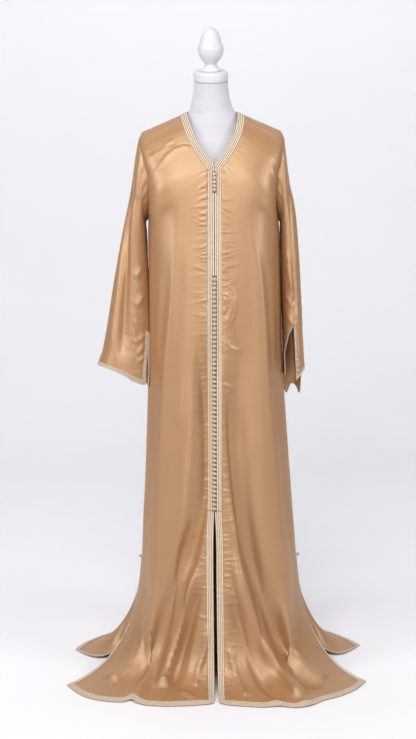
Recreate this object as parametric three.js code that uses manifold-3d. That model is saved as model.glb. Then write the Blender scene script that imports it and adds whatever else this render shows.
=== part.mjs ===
// Long satin underdress worn by a limbless dress form.
// Millimetres, +Z up, the front faces -Y and the wearer's right is at -X.
// Two front panels, a back panel and two sleeves are thin walls; braid edges them and ball buttons close the front.
import * as THREE from "three";
import Module from "manifold-3d";

const WALL = 1.5; // thickness of the cloth
const SEAM = 0.3; // gap between two pieces sewn edge to edge
const BRAID = 1.2; // thickness of the braid
const NECK_BRAID_WIDTH = 19;
const PLACKET_BRAID_WIDTH = 18;
const HEM_BRAID_WIDTH = 19;
const SIDE_TRIM_WIDTH = 5; // narrow trim up the side slits
const SIDE_COLUMN = 17; // width of the last column above the side slits
const NECK_BUTTON_RADIUS = 4.4;
const ROW_BUTTON_RADIUS = 4.2;
const CUFF_BUTTON_RADIUS = 3;
const CUFF_BUTTONS = 4;
const CUFF_BUTTON_TOP = 837;
const CUFF_BUTTON_BOTTOM = 792;
const ROW_BUTTONS = 53;
const ROW_TOP = 1058;
const ROW_BOTTOM = 460;
const V_ROW = 6; // row at the bottom of the V
const SLIT_ROW = 20; // row at which the front slit opens
const SIDE_SLIT_ROW = 23; // row at which the side slits open
const LAST_ROW = 37;
const ARMHOLE_ROWS = 8;

// Front of the dress by row: the closed edge, the side edge and the roundness between them.
const FRONT = {
  columns: ["row", "middle", "gap", "zIn", "yIn", "zOut", "yOut", "shift", "half", "square", "bulge"],
  rows: [
    [0, 2, 128, 1470, 0, 1421, 0, 0, 178, 0.9, 0],
    [1, 4, 125, 1457, -36, 1411, -25, 0, 182, 0.9, 5],
    [2, 5.5, 116, 1438, -60, 1388, -46, 0, 182, 0.8, 9],
    [3, 6.5, 98, 1413, -78, 1352, -60, 1, 176, 0.7, 15],
    [4, 6.5, 74, 1389, -91, 1310, -65, 1, 165, 0.65, 21],
    [5, 6.5, 40, 1363, -103, 1268, -60, 1, 162, 0.6, 24],
    [6, 6, 0.9, 1335, -113, 1232, -46, 1, 163, 0.6, 20],
    [7, 6, 0.9, 1293, -121, 1208, -25, 2, 166, 0.6, 14],
    [8, 5.5, 0.9, 1240, -127, 1200, 0, 3, 168, 0.6, 8],
    [9, 5, 0.9, 1185, -130, 1160, 0, 3.5, 170, 0.6, 5],
    [10, 4.5, 0.9, 1122, -133, 1115, 0, 4, 171, 0.6, 4],
    [11, 4, 0.9, 1060, -136, 1060, 0, 4.5, 172, 0.6, 3],
    [13, 2.5, 0.9, 930, -144, 930, 0, 5, 174, 0.62, 2],
    [15, 1.3, 0.9, 790, -152, 790, 0, 5.5, 178, 0.64, 0],
    [18, -0.5, 0.9, 580, -166, 580, 0, 6.5, 189, 0.66, 0],
    [20, -2, 1.2, 457, -176, 457, 0, 7.5, 197, 0.68, 0],
    [21, -2.3, 6, 400, -181, 400, 0, 8, 201, 0.7, 0],
    [22, -2.6, 8, 340, -186, 340, 0, 9, 205, 0.7, 0],
    [23, -3, 8, 282, -190, 282, 0, 9.5, 208.5, 0.7, 0],
  ],
};

// Back of the dress by row: its middle line. Side edges are shared with the front.
const BACK = {
  columns: ["row", "zIn", "yIn", "square", "bulge", "neck"],
  rows: [
    [0, 1466, 58, 0.9, 0, 1],
    [1, 1449, 66, 0.85, 0, 0.55],
    [2, 1428, 77, 0.8, 0, 0.24],
    [3, 1400, 88, 0.75, 2, 0.08],
    [4, 1368, 97, 0.7, 4, 0],
    [5, 1335, 103, 0.66, 6, 0],
    [6, 1300, 107, 0.62, 8, 0],
    [7, 1262, 108, 0.6, 6, 0],
    [8, 1222, 108, 0.6, 4, 0],
    [9, 1176, 107, 0.6, 2, 0],
    [10, 1120, 107, 0.6, 0, 0],
    [11, 1060, 109, 0.6, 0, 0],
    [13, 930, 116, 0.62, 0, 0],
    [15, 790, 126, 0.64, 0, 0],
    [18, 580, 141, 0.66, 0, 0],
    [20, 457, 151, 0.68, 0, 0],
    [21, 400, 156, 0.7, 0, 0],
    [22, 340, 161, 0.7, 0, 0],
    [23, 282, 166, 0.7, 0, 0],
  ],
};

// Hems on the floor, from the middle (share 0) to the tip at the side slit (share 1).
const HEM_COLUMNS = ["share", "x", "y"];
const HEMS = {
  frontLeft: {
    columns: HEM_COLUMNS,
    rows: [
      [0, -7, -340], [0.1, -36, -346], [0.22, -75, -351], [0.36, -125, -353], [0.5, -176, -346],
      [0.58, -203, -331], [0.63, -219, -310], [0.69, -244, -323], [0.8, -296, -311],
      [0.88, -334, -289], [0.94, -363, -254], [1, -393, -203],
    ],
  },
  frontRight: {
    columns: HEM_COLUMNS,
    rows: [
      [0, 4, -340], [0.1, 32, -351], [0.22, 72, -359], [0.36, 119, -366], [0.46, 153, -361],
      [0.57, 194, -371], [0.68, 228, -362], [0.79, 271, -325], [0.88, 315, -297],
      [0.94, 358, -254], [1, 390, -199],
    ],
  },
  backLeft: {
    columns: HEM_COLUMNS,
    rows: [
      [0, 2, 360], [0.22, -100, 340], [0.45, -205, 276], [0.62, -279, 211], [0.8, -338, 155],
      [0.92, -376, 104], [1, -393, 62],
    ],
  },
  backRight: {
    columns: HEM_COLUMNS,
    rows: [
      [0, 2, 360], [0.22, 106, 342], [0.45, 215, 276], [0.62, 295, 208], [0.8, 340, 161],
      [0.92, 381, 107], [1, 400, 71],
    ],
  },
};

// Largest folds: share across and row where each starts and ends, its width (share) and height out (mm).
const FOLD_COLUMNS = ["shareTop", "shareEnd", "rowTop", "rowEnd", "width", "out"];
const FOLDS = {
  frontLeft: {
    columns: FOLD_COLUMNS,
    rows: [
      [0.42, 0.6, 7, 34, 0.1, 6],
      [0.16, 0.3, 16, 33, 0.07, -9],
      [0.28, 0.45, 18, 36, 0.06, 5],
      [0.7, 0.76, 9, 30, 0.08, -6],
      [0.5, 0.63, 22, 39, 0.05, 12],
      [0.66, 0.78, 24, 36, 0.06, -7],
    ],
  },
  frontRight: {
    columns: FOLD_COLUMNS,
    rows: [
      [0.46, 0.62, 7, 34, 0.1, 6],
      [0.1, 0.3, 15, 33, 0.06, 7],
      [0.2, 0.42, 16, 35, 0.07, -9],
      [0.72, 0.78, 9, 30, 0.08, -6],
      [0.55, 0.68, 23, 38, 0.05, 10],
      [0.36, 0.46, 26, 38, 0.05, 7],
    ],
  },
  backLeft: {
    columns: FOLD_COLUMNS,
    rows: [
      [0.2, 0.26, 6, 35, 0.1, -8],
      [0.45, 0.5, 8, 36, 0.09, 7],
      [0.66, 0.7, 12, 33, 0.07, -7],
    ],
  },
  backRight: {
    columns: FOLD_COLUMNS,
    rows: [
      [0.26, 0.3, 7, 36, 0.1, -9],
      [0.5, 0.56, 9, 35, 0.09, 7],
      [0.72, 0.74, 14, 34, 0.07, -6],
    ],
  },
};

// Sleeves by ring: outermost and innermost points, depth in front and behind, and how full the front is.
const SLEEVE_COLUMNS = ["ring", "xOuter", "zOuter", "xInner", "zInner", "yFront", "yBack", "yInner"];
const SLEEVES = {
  left: {
    columns: SLEEVE_COLUMNS,
    rows: [
      [1, -187, 1400, -171, 1192, -66, 62, 0],
      [2, -195, 1368, -173, 1184, -66, 62, 0],
      [3, -202, 1328, -172.5, 1176, -65, 61, -3],
      [4, -208, 1290, -171.5, 1166, -64, 60, -6],
      [5, -216, 1247, -170.5, 1150, -63, 57, -10],
      [6, -226, 1196, -170, 1122, -62, 52, -16],
      [7, -238, 1134, -170, 1078, -62, 46, -24],
      [8, -250, 1070, -170, 1022, -63, 38, -32],
      [9, -262, 1005, -170.5, 962, -65, 30, -39],
      [10, -274, 947, -171.5, 905, -68, 24, -46],
      [11, -285, 895, -173, 852, -71, 18, -51],
      [12, -294, 853, -173.5, 806, -73, 13, -55],
      [13, -302, 829, -174, 781, -74, 10, -57],
      [14, -306, 814, -174, 764, -75, 8, -58],
    ],
  },
  right: {
    columns: SLEEVE_COLUMNS,
    rows: [
      [1, 187, 1400, 172, 1192, -66, 62, 0],
      [2, 192, 1364, 176, 1184, -67, 63, 0],
      [3, 197, 1322, 176.5, 1176, -67, 64, 0],
      [4, 203, 1280, 176.5, 1166, -68, 65, 0],
      [5, 212, 1240, 176.5, 1150, -69, 66, 0],
      [6, 217, 1190, 177.3, 1122, -71, 67, 0],
      [7, 221, 1130, 178.5, 1078, -73, 68, 0],
      [8, 226, 1060, 179.5, 1022, -76, 68, 0],
      [9, 230, 995, 181, 962, -79, 68, 0],
      [10, 233, 930, 182.3, 905, -82, 68, 0],
      [11, 236, 880, 184, 852, -84, 68, 0],
      [12, 238, 838, 185.5, 812, -86, 67, 0],
      [13, 239, 820, 186, 797, -87, 66, 0],
      [14, 239, 802, 187, 784, -88, 66, 0],
    ],
  },
};
const SLEEVE_RINGS = 14;
const SLEEVE_SLIT = { left: 11, right: 10 }; // ring at the top of each cuff slit
const SLIT_OPEN = { left: [3, 3], right: [46, 1] }; // how far the slit's inner and outer edges are drawn aside
// How far the cuff hangs below its ring, by column from the slit's inner edge.
const CUFF_DROPS = {
  left: { columns: ["column", "drop"], rows: [[12, 0], [13, 3], [14, 10], [15, 9], [16, 2]] },
  right: {
    columns: ["column", "drop"],
    rows: [[2, 0], [4, 38], [5, 65], [6, 46], [7, 58], [8, 77], [9, 20], [11, 0], [13, 0], [14, 5], [15, 17], [16, 24]],
  },
};

// Dress form by height: half width, depth in front and behind.
const TORSO_SIDES = 28;
const TORSO = {
  columns: ["z", "half", "front", "back", "coreHalf", "coreFront", "coreBack"],
  rows: [
    [792, 138, 96, 98, 1, 0, 0],
    [870, 150, 106, 104, 1, 0, 0],
    [960, 142, 100, 96, 1, 0, 0],
    [1050, 114, 86, 76, 1, 0, 0],
    [1130, 118, 90, 76, 1, 0, 0],
    [1210, 136, 104, 84, 1, 0, 0],
    [1270, 144, 112, 88, 1, 0, 0],
    [1320, 148, 103, 88, 1, 0, 0],
    [1362, 153, 86, 82, 1, 0, 0],
    [1395, 158, 56, 62, 100, 72, 68],
    [1414, 163, 36, 40, 90, 64, 62],
  ],
};
const SLOPE = {
  columns: ["half", "shoulder", "coreHalf", "coreFront", "coreBack"],
  rows: [
    [162, 17, 84, 60, 58],
    [140, 14, 76, 57, 55],
    [118, 12, 66, 54, 52],
    [96, 11, 58, 51, 50],
    [78, 9, 53, 49, 49],
    [66, 5, 49, 47, 47],
    [61, 4, 48, 46, 47],
  ],
};

// Value of a table's column at a place along its first column, by smooth interpolation.
function valueAt(table, column, place) {
  const k = table.columns.indexOf(column);
  const rows = table.rows;
  const last = rows.length - 1;
  const at = Math.min(Math.max(place, rows[0][0]), rows[last][0]);
  let i = 0;
  while (i < last - 1 && rows[i + 1][0] < at) i++;
  const slope = (j) => (rows[j + 1][k] - rows[j][k]) / (rows[j + 1][0] - rows[j][0]);
  const tangent = (j) => {
    if (j === 0) return slope(0);
    if (j === last) return slope(last - 1);
    const before = slope(j - 1);
    const after = slope(j);
    return before * after <= 0 ? 0 : (2 * before * after) / (before + after);
  };
  const step = rows[i + 1][0] - rows[i][0];
  const t = (at - rows[i][0]) / step;
  const a = rows[i][k];
  const b = rows[i + 1][k];
  const ma = tangent(i) * step;
  const mb = tangent(i + 1) * step;
  const t2 = t * t;
  const t3 = t2 * t;
  return (2 * t3 - 3 * t2 + 1) * a + (t3 - 2 * t2 + t) * ma + (3 * t2 - 2 * t3) * b + (t3 - t2) * mb;
}

const mix = (a, b, t) => a + (b - a) * t;
const clamp = (t) => Math.min(Math.max(t, 0), 1);
const ease = (t) => clamp(t) * clamp(t) * (3 - 2 * clamp(t));
const vector = (x, y, z) => new THREE.Vector3(x, y, z);

// A point of one row before spacing: side is -1 or 1, w runs from the middle (0) to the side seam (1).
function sectionPoint(face, side, row, w) {
  const f = (name) => valueAt(FRONT, name, row);
  const xOut = f("shift") + side * f("half");
  const angle = (w * Math.PI) / 2;
  const front = face === "front";
  const own = (name) => valueAt(front ? FRONT : BACK, name, row);
  const xIn = front ? f("middle") + (side * f("gap")) / 2 : f("middle") * 0.4;
  const yIn = own("yIn");
  const yOut = front ? f("yOut") : -f("yOut");
  const out = front ? -1 : 1;
  const across = mix(w, Math.sin(angle), clamp(row / 2));
  const x = mix(xIn, xOut, across);
  const y = mix(yOut, yIn, Math.pow(Math.max(Math.cos(angle), 0), own("square")));
  const z = mix(own("zIn"), f("zOut"), across);
  return vector(x, y + out * own("bulge") * Math.sin(Math.PI * w), z);
}

// The back panel's top edge: half the neckline, then the shoulder seam.
const NECK_PLACE = 0.42;
function backTop(side, w) {
  const neckX = 2 + side * 64;
  if (w <= NECK_PLACE) {
    const angle = ((w / NECK_PLACE) * Math.PI) / 2;
    return vector(2 + side * 64 * Math.sin(angle), 58 * Math.cos(angle), mix(1466, 1470, Math.sin(angle)));
  }
  const t = (w - NECK_PLACE) / (1 - NECK_PLACE);
  return vector(mix(neckX, side * 178, t), 0, mix(1470, 1421, t));
}

function rawPoint(face, side, row, w) {
  const p = sectionPoint(face, side, row, w);
  if (face === "front") return p;
  const pull = valueAt(BACK, "neck", row);
  if (pull <= 0) return p;
  return p.addScaledVector(backTop(side, w).sub(sectionPoint(face, side, 0, w)), pull);
}

// Points of a polyline at given distances from its start.
function atDistances(line, distances) {
  const along = [0];
  for (let i = 1; i < line.length; i++) along.push(along[i - 1] + line[i].distanceTo(line[i - 1]));
  const total = along[along.length - 1];
  return distances(total, along).map((d) => {
    let i = 1;
    while (i < line.length - 1 && along[i] < d) i++;
    const t = (d - along[i - 1]) / (along[i] - along[i - 1]);
    return line[i - 1].clone().lerp(line[i], t);
  });
}

const FINE = 100;
const NECK_INDEX = Math.round(NECK_PLACE * FINE);

// Distances of the columns from the middle edge, for a row of the given length.
function columnDistances(face, row, total, along) {
  const side = mix(SIDE_COLUMN, SIDE_TRIM_WIDTH, clamp((row - 21) / 2));
  if (face === "front") {
    const first = row <= 5 ? NECK_BRAID_WIDTH : PLACKET_BRAID_WIDTH + 2 * clamp((8 - row) / 2);
    const inner = 12;
    const list = [0, first];
    for (let i = 1; i <= inner; i++) list.push(mix(first, total - side, i / inner));
    list.push(total);
    return list;
  }
  const neck = row === 0 ? along[NECK_INDEX] : total * backNeckShare;
  const corner = neck + NECK_BRAID_WIDTH;
  const list = [0, neck / 3, (2 * neck) / 3, neck, corner];
  for (let i = 1; i <= 5; i++) list.push(mix(corner, total - side, i / 5));
  list.push(total);
  return list;
}

function rowPoints(face, side, row) {
  const line = [];
  for (let i = 0; i <= FINE; i++) line.push(rawPoint(face, side, row, i / FINE));
  return atDistances(line, (total, along) => columnDistances(face, row, total, along));
}

let backNeckShare = 0.43;
{
  const line = [];
  for (let i = 0; i <= FINE; i++) line.push(rawPoint("back", 1, 0, i / FINE));
  let total = 0;
  line.forEach((p, i) => {
    if (i) total += p.distanceTo(line[i - 1]);
    if (i === NECK_INDEX) backNeckShare = total;
  });
  backNeckShare /= total;
}

// Share of each column across its row, taken where the skirt meets the floor.
function columnShares(face, row) {
  const total = 330;
  return columnDistances(face, Math.max(row, 9), total, []).map((d) => d / total);
}

// The skirt below the side slits: each column falls, bends and runs out along the floor to the hem.
function trainPoints(face, side, start) {
  const hem = HEMS[face + (side < 0 ? "Left" : "Right")];
  const shares = columnShares(face, SIDE_SLIT_ROW);
  return start.map((p, k) => {
    const share = shares[k];
    const end = vector(valueAt(hem, "x", share), valueAt(hem, "y", share), 0);
    const run = end.clone().sub(p).setZ(0);
    const bow = face === "back" ? -38 * ease((share - 0.5) / 0.5) : 0;
    const crown = 10 * (1 - 0.75 * ease((share - 0.85) / 0.15)) * (face === "front" ? mix(0.4, 1, ease(share / 0.12)) : 1);
    const edge = face === "back" ? ease((share - 0.85) / 0.15) : 0; // the slit edge falls steeply, then swings forward
    const soft = mix(mix(0.5, face === "back" ? 1.08 : 0.8, ease((share - 0.45) / 0.45)), 0.5, edge);
    const line = [];
    for (let i = 0; i <= FINE; i++) {
      const angle = ((i / FINE) * Math.PI) / 2;
      const drop = Math.pow(Math.sin(angle), soft);
      const bend = 1 - Math.pow(Math.max(Math.cos(angle), 0), soft);
      const go = 0.12 * drop + 0.88 * bend;
      const lift = crown * Math.pow(Math.sin(Math.PI * clamp((go - 0.15) / 0.85)), 0.7);
      const q = p.clone().addScaledVector(run, go);
      q.y += mix(bow * Math.sin(Math.PI * go), -49 * Math.sin(Math.PI * clamp((go - 0.29) / 0.71)), edge);
      q.z = mix(p.z, WALL, drop) + lift;
      line.push(q);
    }
    const count = LAST_ROW - SIDE_SLIT_ROW;
    return atDistances(line, (total) => {
      const list = [];
      for (let i = 1; i < count; i++) list.push(((total - HEM_BRAID_WIDTH) * i) / (count - 1));
      list.push(total);
      return list;
    });
  });
}

// Half of the dress as a grid of points, rows from the shoulder to the hem, columns from the middle to the side.
function halfGrid(face, side) {
  const grid = [];
  for (let row = 0; row <= SIDE_SLIT_ROW; row++) grid.push(rowPoints(face, side, row));
  const columns = trainPoints(face, side, grid[SIDE_SLIT_ROW]);
  for (let i = 0; i < LAST_ROW - SIDE_SLIT_ROW; i++) grid.push(columns.map((column) => column[i]));
  return grid;
}

// Outward normal at each grid point from its neighbours.
function gridNormals(grid, turn) {
  const rows = grid.length;
  const count = grid[0].length;
  return grid.map((line, r) =>
    line.map((p, k) => {
      const a = grid[r][Math.max(k - 1, 0)];
      const b = grid[r][Math.min(k + 1, count - 1)];
      const c = grid[Math.max(r - 1, 0)][k];
      const d = grid[Math.min(r + 1, rows - 1)][k];
      const n = b.clone().sub(a).cross(d.clone().sub(c));
      return n.multiplyScalar(turn / n.length());
    }),
  );
}

// Height of the folds at a place on the cloth.
function foldHeight(folds, share, row) {
  let height = 0;
  for (const [shareTop, shareEnd, rowTop, rowEnd, width, out] of folds.rows) {
    const t = (row - rowTop) / (rowEnd - rowTop);
    if (t <= 0 || t >= 1) continue;
    const off = (share - mix(shareTop, shareEnd, t)) / width;
    height += out * Math.exp(-off * off) * Math.pow(Math.sin(Math.PI * t), 0.6);
  }
  return height * ease(share / 0.06) * ease((1 - share) / 0.08);
}

function folded(grid, face, side) {
  const turn = (face === "front" ? 1 : -1) * (side < 0 ? -1 : 1);
  const normals = gridNormals(grid, -turn);
  const folds = FOLDS[face + (side < 0 ? "Left" : "Right")];
  const shares = columnShares(face, SIDE_SLIT_ROW);
  return grid.map((line, row) =>
    line.map((p, k) => {
      const fade = row === LAST_ROW ? 0.5 : 1;
      const q = p.clone().addScaledVector(normals[row][k], fade * foldHeight(folds, shares[k], row));
      q.z = Math.max(q.z, WALL);
      return q;
    }),
  );
}

// Rounds the cut corners of a panel where a slit meets the hem.
function roundCorner(grid, k, next, share) {
  const last = grid.length - 1;
  const corner = grid[last][k];
  const middle = grid[last - 1][k].clone().add(grid[last][next]).multiplyScalar(0.5);
  corner.lerp(middle, share);
}

// Pieces are gathered from grids as quads of points with outward normals.
class Cloth {
  constructor() {
    this.points = [];
    this.normals = [];
    this.quads = [];
    this.known = new Map();
  }
  add(point, normal) {
    const key = [point.x, point.y, point.z].map((v) => Math.round(v * 50)).join();
    if (!this.known.has(key)) {
      this.known.set(key, this.points.length);
      this.points.push(point);
      this.normals.push(normal.clone().normalize());
    }
    return this.known.get(key);
  }
  cell(grid, normals, row, k, keep = (p) => p, keepNormal = (n) => n) {
    const corners = [[row, k], [row + 1, k], [row + 1, k + 1], [row, k + 1]];
    const quad = corners.map(([r, c]) => this.add(keep(grid[r][c], r, c), keepNormal(normals[r][c], r, c)));
    this.quads.push(quad);
  }
  // A closed solid between two distances from the gathered surface.
  solid(inner, outer, floor = 0) {
    const n = this.points.length;
    const corner = (i, distance) => {
      const q = this.points[i].clone().addScaledVector(this.normals[i], distance);
      q.z = Math.max(q.z, floor);
      return q;
    };
    const vertices = [];
    for (let i = 0; i < n; i++) vertices.push(corner(i, outer));
    for (let i = 0; i < n; i++) vertices.push(corner(i, inner));
    const index = [];
    const edges = new Map();
    const triangle = (a, b, c) => {
      index.push(a, b, c, a + n, c + n, b + n);
      for (const [p, q] of [[a, b], [b, c], [c, a]]) edges.set(p + "_" + q, [p, q]);
    };
    for (const [a, b, c, d] of this.quads) {
      triangle(a, b, c);
      triangle(a, c, d);
    }
    for (const [p, q] of edges.values()) {
      if (edges.has(q + "_" + p)) continue;
      index.push(q, p, p + n, q, p + n, q + n);
    }
    const geometry = new THREE.BufferGeometry();
    geometry.setAttribute("position", new THREE.Float32BufferAttribute(vertices.flatMap((v) => v.toArray()), 3));
    geometry.setIndex(index);
    return geometry;
  }
}

const part = new THREE.Group();
const materials = {
  satin: new THREE.MeshStandardMaterial({ name: "satin", color: 0xd9af7e, roughness: 0.4 }),
  braid: new THREE.MeshStandardMaterial({ name: "braid", color: 0xcdb9a3, roughness: 0.8 }),
  form: new THREE.MeshStandardMaterial({ name: "form_white", color: 0xeeeef2, roughness: 0.6 }),
  stand: new THREE.MeshStandardMaterial({ name: "stand_metal", color: 0xa15c38, roughness: 0.4 }),
};

function place(name, geometry, material) {
  const mesh = new THREE.Mesh(geometry, materials[material]);
  mesh.name = name;
  part.add(mesh);
  return mesh;
}

// Seams: a point moves off the seam line by half the gap, and its normal stays in the seam's plane.
function seamed(grid, normals, face) {
  const back = face === "front" ? -1 : 1;
  const last = grid[0].length - 1;
  grid.forEach((line, row) => {
    line.forEach((p, k) => {
      const shoulder = row === 0 && (face === "front" || Math.abs(p.y) < 0.01);
      const side = k === last && (row >= ARMHOLE_ROWS || row === 0) && row <= SIDE_SLIT_ROW;
      if (shoulder || side) {
        p.y += (back * SEAM) / 2;
        normals[row][k].y = 0;
        normals[row][k].normalize();
      }
      if (face === "front" && k === 0 && row > 5 && row < SLIT_ROW) {
        normals[row][k].x = 0;
        normals[row][k].normalize();
      }
    });
  });
}

const halves = {};
for (const face of ["front", "back"])
  for (const side of [-1, 1]) {
    const grid = folded(halfGrid(face, side), face, side);
    const turn = (face === "front" ? 1 : -1) * (side < 0 ? -1 : 1);
    roundCorner(grid, grid[0].length - 1, grid[0].length - 2, 0.12);
    if (face === "front") roundCorner(grid, 0, 1, 0.4);
    halves[face + side] = { grid, turn };
  }

// The two back halves share their middle column and make one panel from left to right.
const backGrid = halves["back-1"].grid.map((line, row) => {
  const right = halves["back1"].grid[row];
  const middle = line[0].clone().add(right[0]).multiplyScalar(0.5);
  return [...line.slice(1).reverse(), middle, ...right.slice(1)];
});
const backNormals = gridNormals(backGrid, 1);
const backHalfColumns = halves["back1"].grid[0].length - 1;
{
  const lines = [backGrid, backNormals];
  const leftGrid = lines[0].map((line) => line.slice(0, backHalfColumns + 1).reverse());
  const leftNormals = lines[1].map((line) => line.slice(0, backHalfColumns + 1).reverse());
  seamed(leftGrid, leftNormals, "back");
  const rightGrid = lines[0].map((line) => line.slice(backHalfColumns));
  const rightNormals = lines[1].map((line) => line.slice(backHalfColumns));
  seamed(rightGrid, rightNormals, "back");
}

const fronts = {};
for (const side of [-1, 1]) {
  const { grid } = halves["front" + side];
  const normals = gridNormals(grid, side < 0 ? 1 : -1);
  seamed(grid, normals, "front");
  fronts[side] = { grid, normals };
}

const sideName = (side) => (side < 0 ? "left" : "right");

// Cells are added so that their corners run anticlockwise seen from outside.
function addCell(cloth, face, side, grid, normals, row, k, keep, keepNormal) {
  const flip = face === "front" ? side > 0 : false;
  if (!flip) cloth.cell(flipped(grid), flipped(normals), row, flippedColumn(grid, k), keep, keepNormal);
  else cloth.cell(grid, normals, row, k, keep, keepNormal);
}
const flippedCache = new Map();
function flipped(grid) {
  if (!flippedCache.has(grid)) flippedCache.set(grid, grid.map((line) => line.slice().reverse()));
  return flippedCache.get(grid);
}
const flippedColumn = (grid, k) => grid[0].length - 2 - k;

for (const side of [-1, 1]) {
  const { grid, normals } = fronts[side];
  const count = grid[0].length - 1;
  const add = (cloth, row, k) => addCell(cloth, "front", side, grid, normals, row, k);
  const panel = new Cloth();
  for (let row = 0; row < LAST_ROW; row++) for (let k = 0; k < count; k++) add(panel, row, k);
  place("front_panel_" + sideName(side), panel.solid(-WALL, 0), "satin");

  const placket = new Cloth();
  const ended = (p, r, c) => {
    const column = c === count ? 0 : 1;
    if (r === V_ROW) return p.clone().lerp(grid[r + 1][column], 0.01);
    return r === SLIT_ROW ? p.clone().lerp(grid[r - 1][column], 0.006) : p;
  };
  const ends = (p, r, c) => ended(p, r, side < 0 ? c : c === 0 ? count : 0);
  for (let row = V_ROW; row < SLIT_ROW; row++) addCell(placket, "front", side, grid, normals, row, 0, ends);
  place("placket_braid_" + sideName(side), placket.solid(SEAM, SEAM + BRAID), "braid");

  const hem = new Cloth();
  for (let row = SLIT_ROW; row < LAST_ROW; row++) add(hem, row, 0);
  for (let k = 1; k < count; k++) add(hem, LAST_ROW - 1, k);
  for (let row = SIDE_SLIT_ROW; row < LAST_ROW - 1; row++) add(hem, row, count - 1);
  place("hem_braid_" + sideName(side), hem.solid(SEAM, SEAM + BRAID), "braid");
}

{
  const count = backGrid[0].length - 1;
  const add = (cloth, row, k) => addCell(cloth, "back", 1, backGrid, backNormals, row, k);
  const panel = new Cloth();
  for (let row = 0; row < LAST_ROW; row++) for (let k = 0; k < count; k++) add(panel, row, k);
  place("back_panel", panel.solid(-WALL, 0), "satin");

  const hem = new Cloth();
  for (let row = SIDE_SLIT_ROW; row < LAST_ROW; row++)
    for (let k = 0; k < count; k++) if (k === 0 || k === count - 1 || row === LAST_ROW - 1) add(hem, row, k);
  place("hem_braid_back", hem.solid(SEAM, SEAM + BRAID), "braid");
}

// Neck braid: down both sides of the V and round the back of the neck in one length.
{
  const neck = new Cloth();
  const onSeam = (p, r) => (r === 0 && Math.abs(p.y) < 1 ? vector(p.x, 0, p.z) : p);
  const upright = (n, r) => (r === 0 ? vector(n.x, 0, n.z) : n);
  for (const side of [-1, 1]) {
    const { grid, normals } = fronts[side];
    for (let row = 0; row < 6; row++) addCell(neck, "front", side, grid, normals, row, 0, onSeam, upright);
  }
  const middle = backHalfColumns;
  for (let k = middle - 4; k < middle + 4; k++)
    addCell(neck, "back", 1, backGrid, backNormals, 0, k, onSeam, (n, r, c) => n);
  place("neck_braid", neck.solid(SEAM, SEAM + BRAID), "braid");
}

// Sleeve: rings of points from the armhole to the cuff, front of the ring first, starting at the outside.
const RING_ANGLES = [0, 22.5, 45, 67.5, 90, 112.5, 135, 157.5, 180, 202.5, 225, 247.5, 270, 292.5, 315, 337.5];
function armholeRing(side) {
  const { grid, normals } = fronts[side];
  const last = grid[0].length - 1;
  const backLast = side < 0 ? 0 : backGrid[0].length - 1;
  const backNext = side < 0 ? 1 : backLast - 1;
  const ring = [];
  for (let row = 0; row <= ARMHOLE_ROWS; row++)
    ring.push([grid[row][last], grid[row][last - 1], normals[row][last]]);
  for (let row = ARMHOLE_ROWS - 1; row > 0; row--)
    ring.push([backGrid[row][backLast], backGrid[row][backNext], backNormals[row][backLast]]);
  return ring.map(([p, before, n], i) => {
    const way = p.clone().sub(before).normalize();
    const q = p.clone().addScaledVector(way, SEAM + 0.15);
    if (i === 0 || i === ARMHOLE_ROWS) q.y = 0;
    return { point: q, normal: n.clone() };
  });
}

// Angle of each column of the ring below the armhole; the slit lies between the last column and the first.
const SLIT_ANGLE = { left: 150, right: 100 };

function sleeveRing(side, ring) {
  const table = SLEEVES[sideName(side)];
  const at = (name) => valueAt(table, name, ring);
  const outer = vector(at("xOuter"), 0, at("zOuter"));
  const inner = vector(at("xInner"), 0, at("zInner"));
  const middle = outer.clone().add(inner).multiplyScalar(0.5);
  const arm = outer.clone().sub(middle);
  return RING_ANGLES.map((degrees) => {
    const angle = (degrees * Math.PI) / 180;
    const c = Math.cos(angle);
    const s = Math.sin(angle);
    const q = middle.clone().addScaledVector(arm, Math.sign(c) * Math.pow(Math.abs(c), 0.85));
    const deep = s > 0 ? at("yFront") : at("yBack");
    const lean = (at("yInner") * (1 - c)) / 2;
    q.y = lean + (deep - lean) * Math.pow(Math.abs(s), 0.85);
    if (s > 0) q.z += 13 * s * (ring / SLEEVE_RINGS) ** 2;
    return q;
  });
}

function sleeveGrid(side) {
  const name = sideName(side);
  const first = armholeRing(side);
  const grid = [first.map((e) => e.point)];
  for (let ring = 1; ring <= SLEEVE_RINGS; ring++) grid.push(sleeveRing(side, ring));
  const slit = Math.round(SLIT_ANGLE[name] / 22.5);
  const turned = grid.map((line) => [...line.slice(slit), ...line.slice(0, slit), line[slit].clone()]);
  const normalsFirst = first.map((e) => e.normal);
  const turnedFirst = [...normalsFirst.slice(slit), ...normalsFirst.slice(0, slit), normalsFirst[slit].clone()];
  const last = turned[0].length - 1;
  const open = SLEEVE_SLIT[name];
  for (let ring = open + 1; ring <= SLEEVE_RINGS; ring++) {
    const t = (ring - open) / (SLEEVE_RINGS - open);
    const [inner, outer] = SLIT_OPEN[name].map((wide) => wide * clamp(3.2 * t));
    turned[ring] = atDistances(turned[ring], (total, along) => along.map((d) => mix(inner, total - outer, d / total)));
    turned[ring].forEach((p, k) => {
      p.z -= t * valueAt(CUFF_DROPS[name], "drop", k);
    });
  }
  return { grid: turned, firstNormals: turnedFirst, open, last };
}

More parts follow.
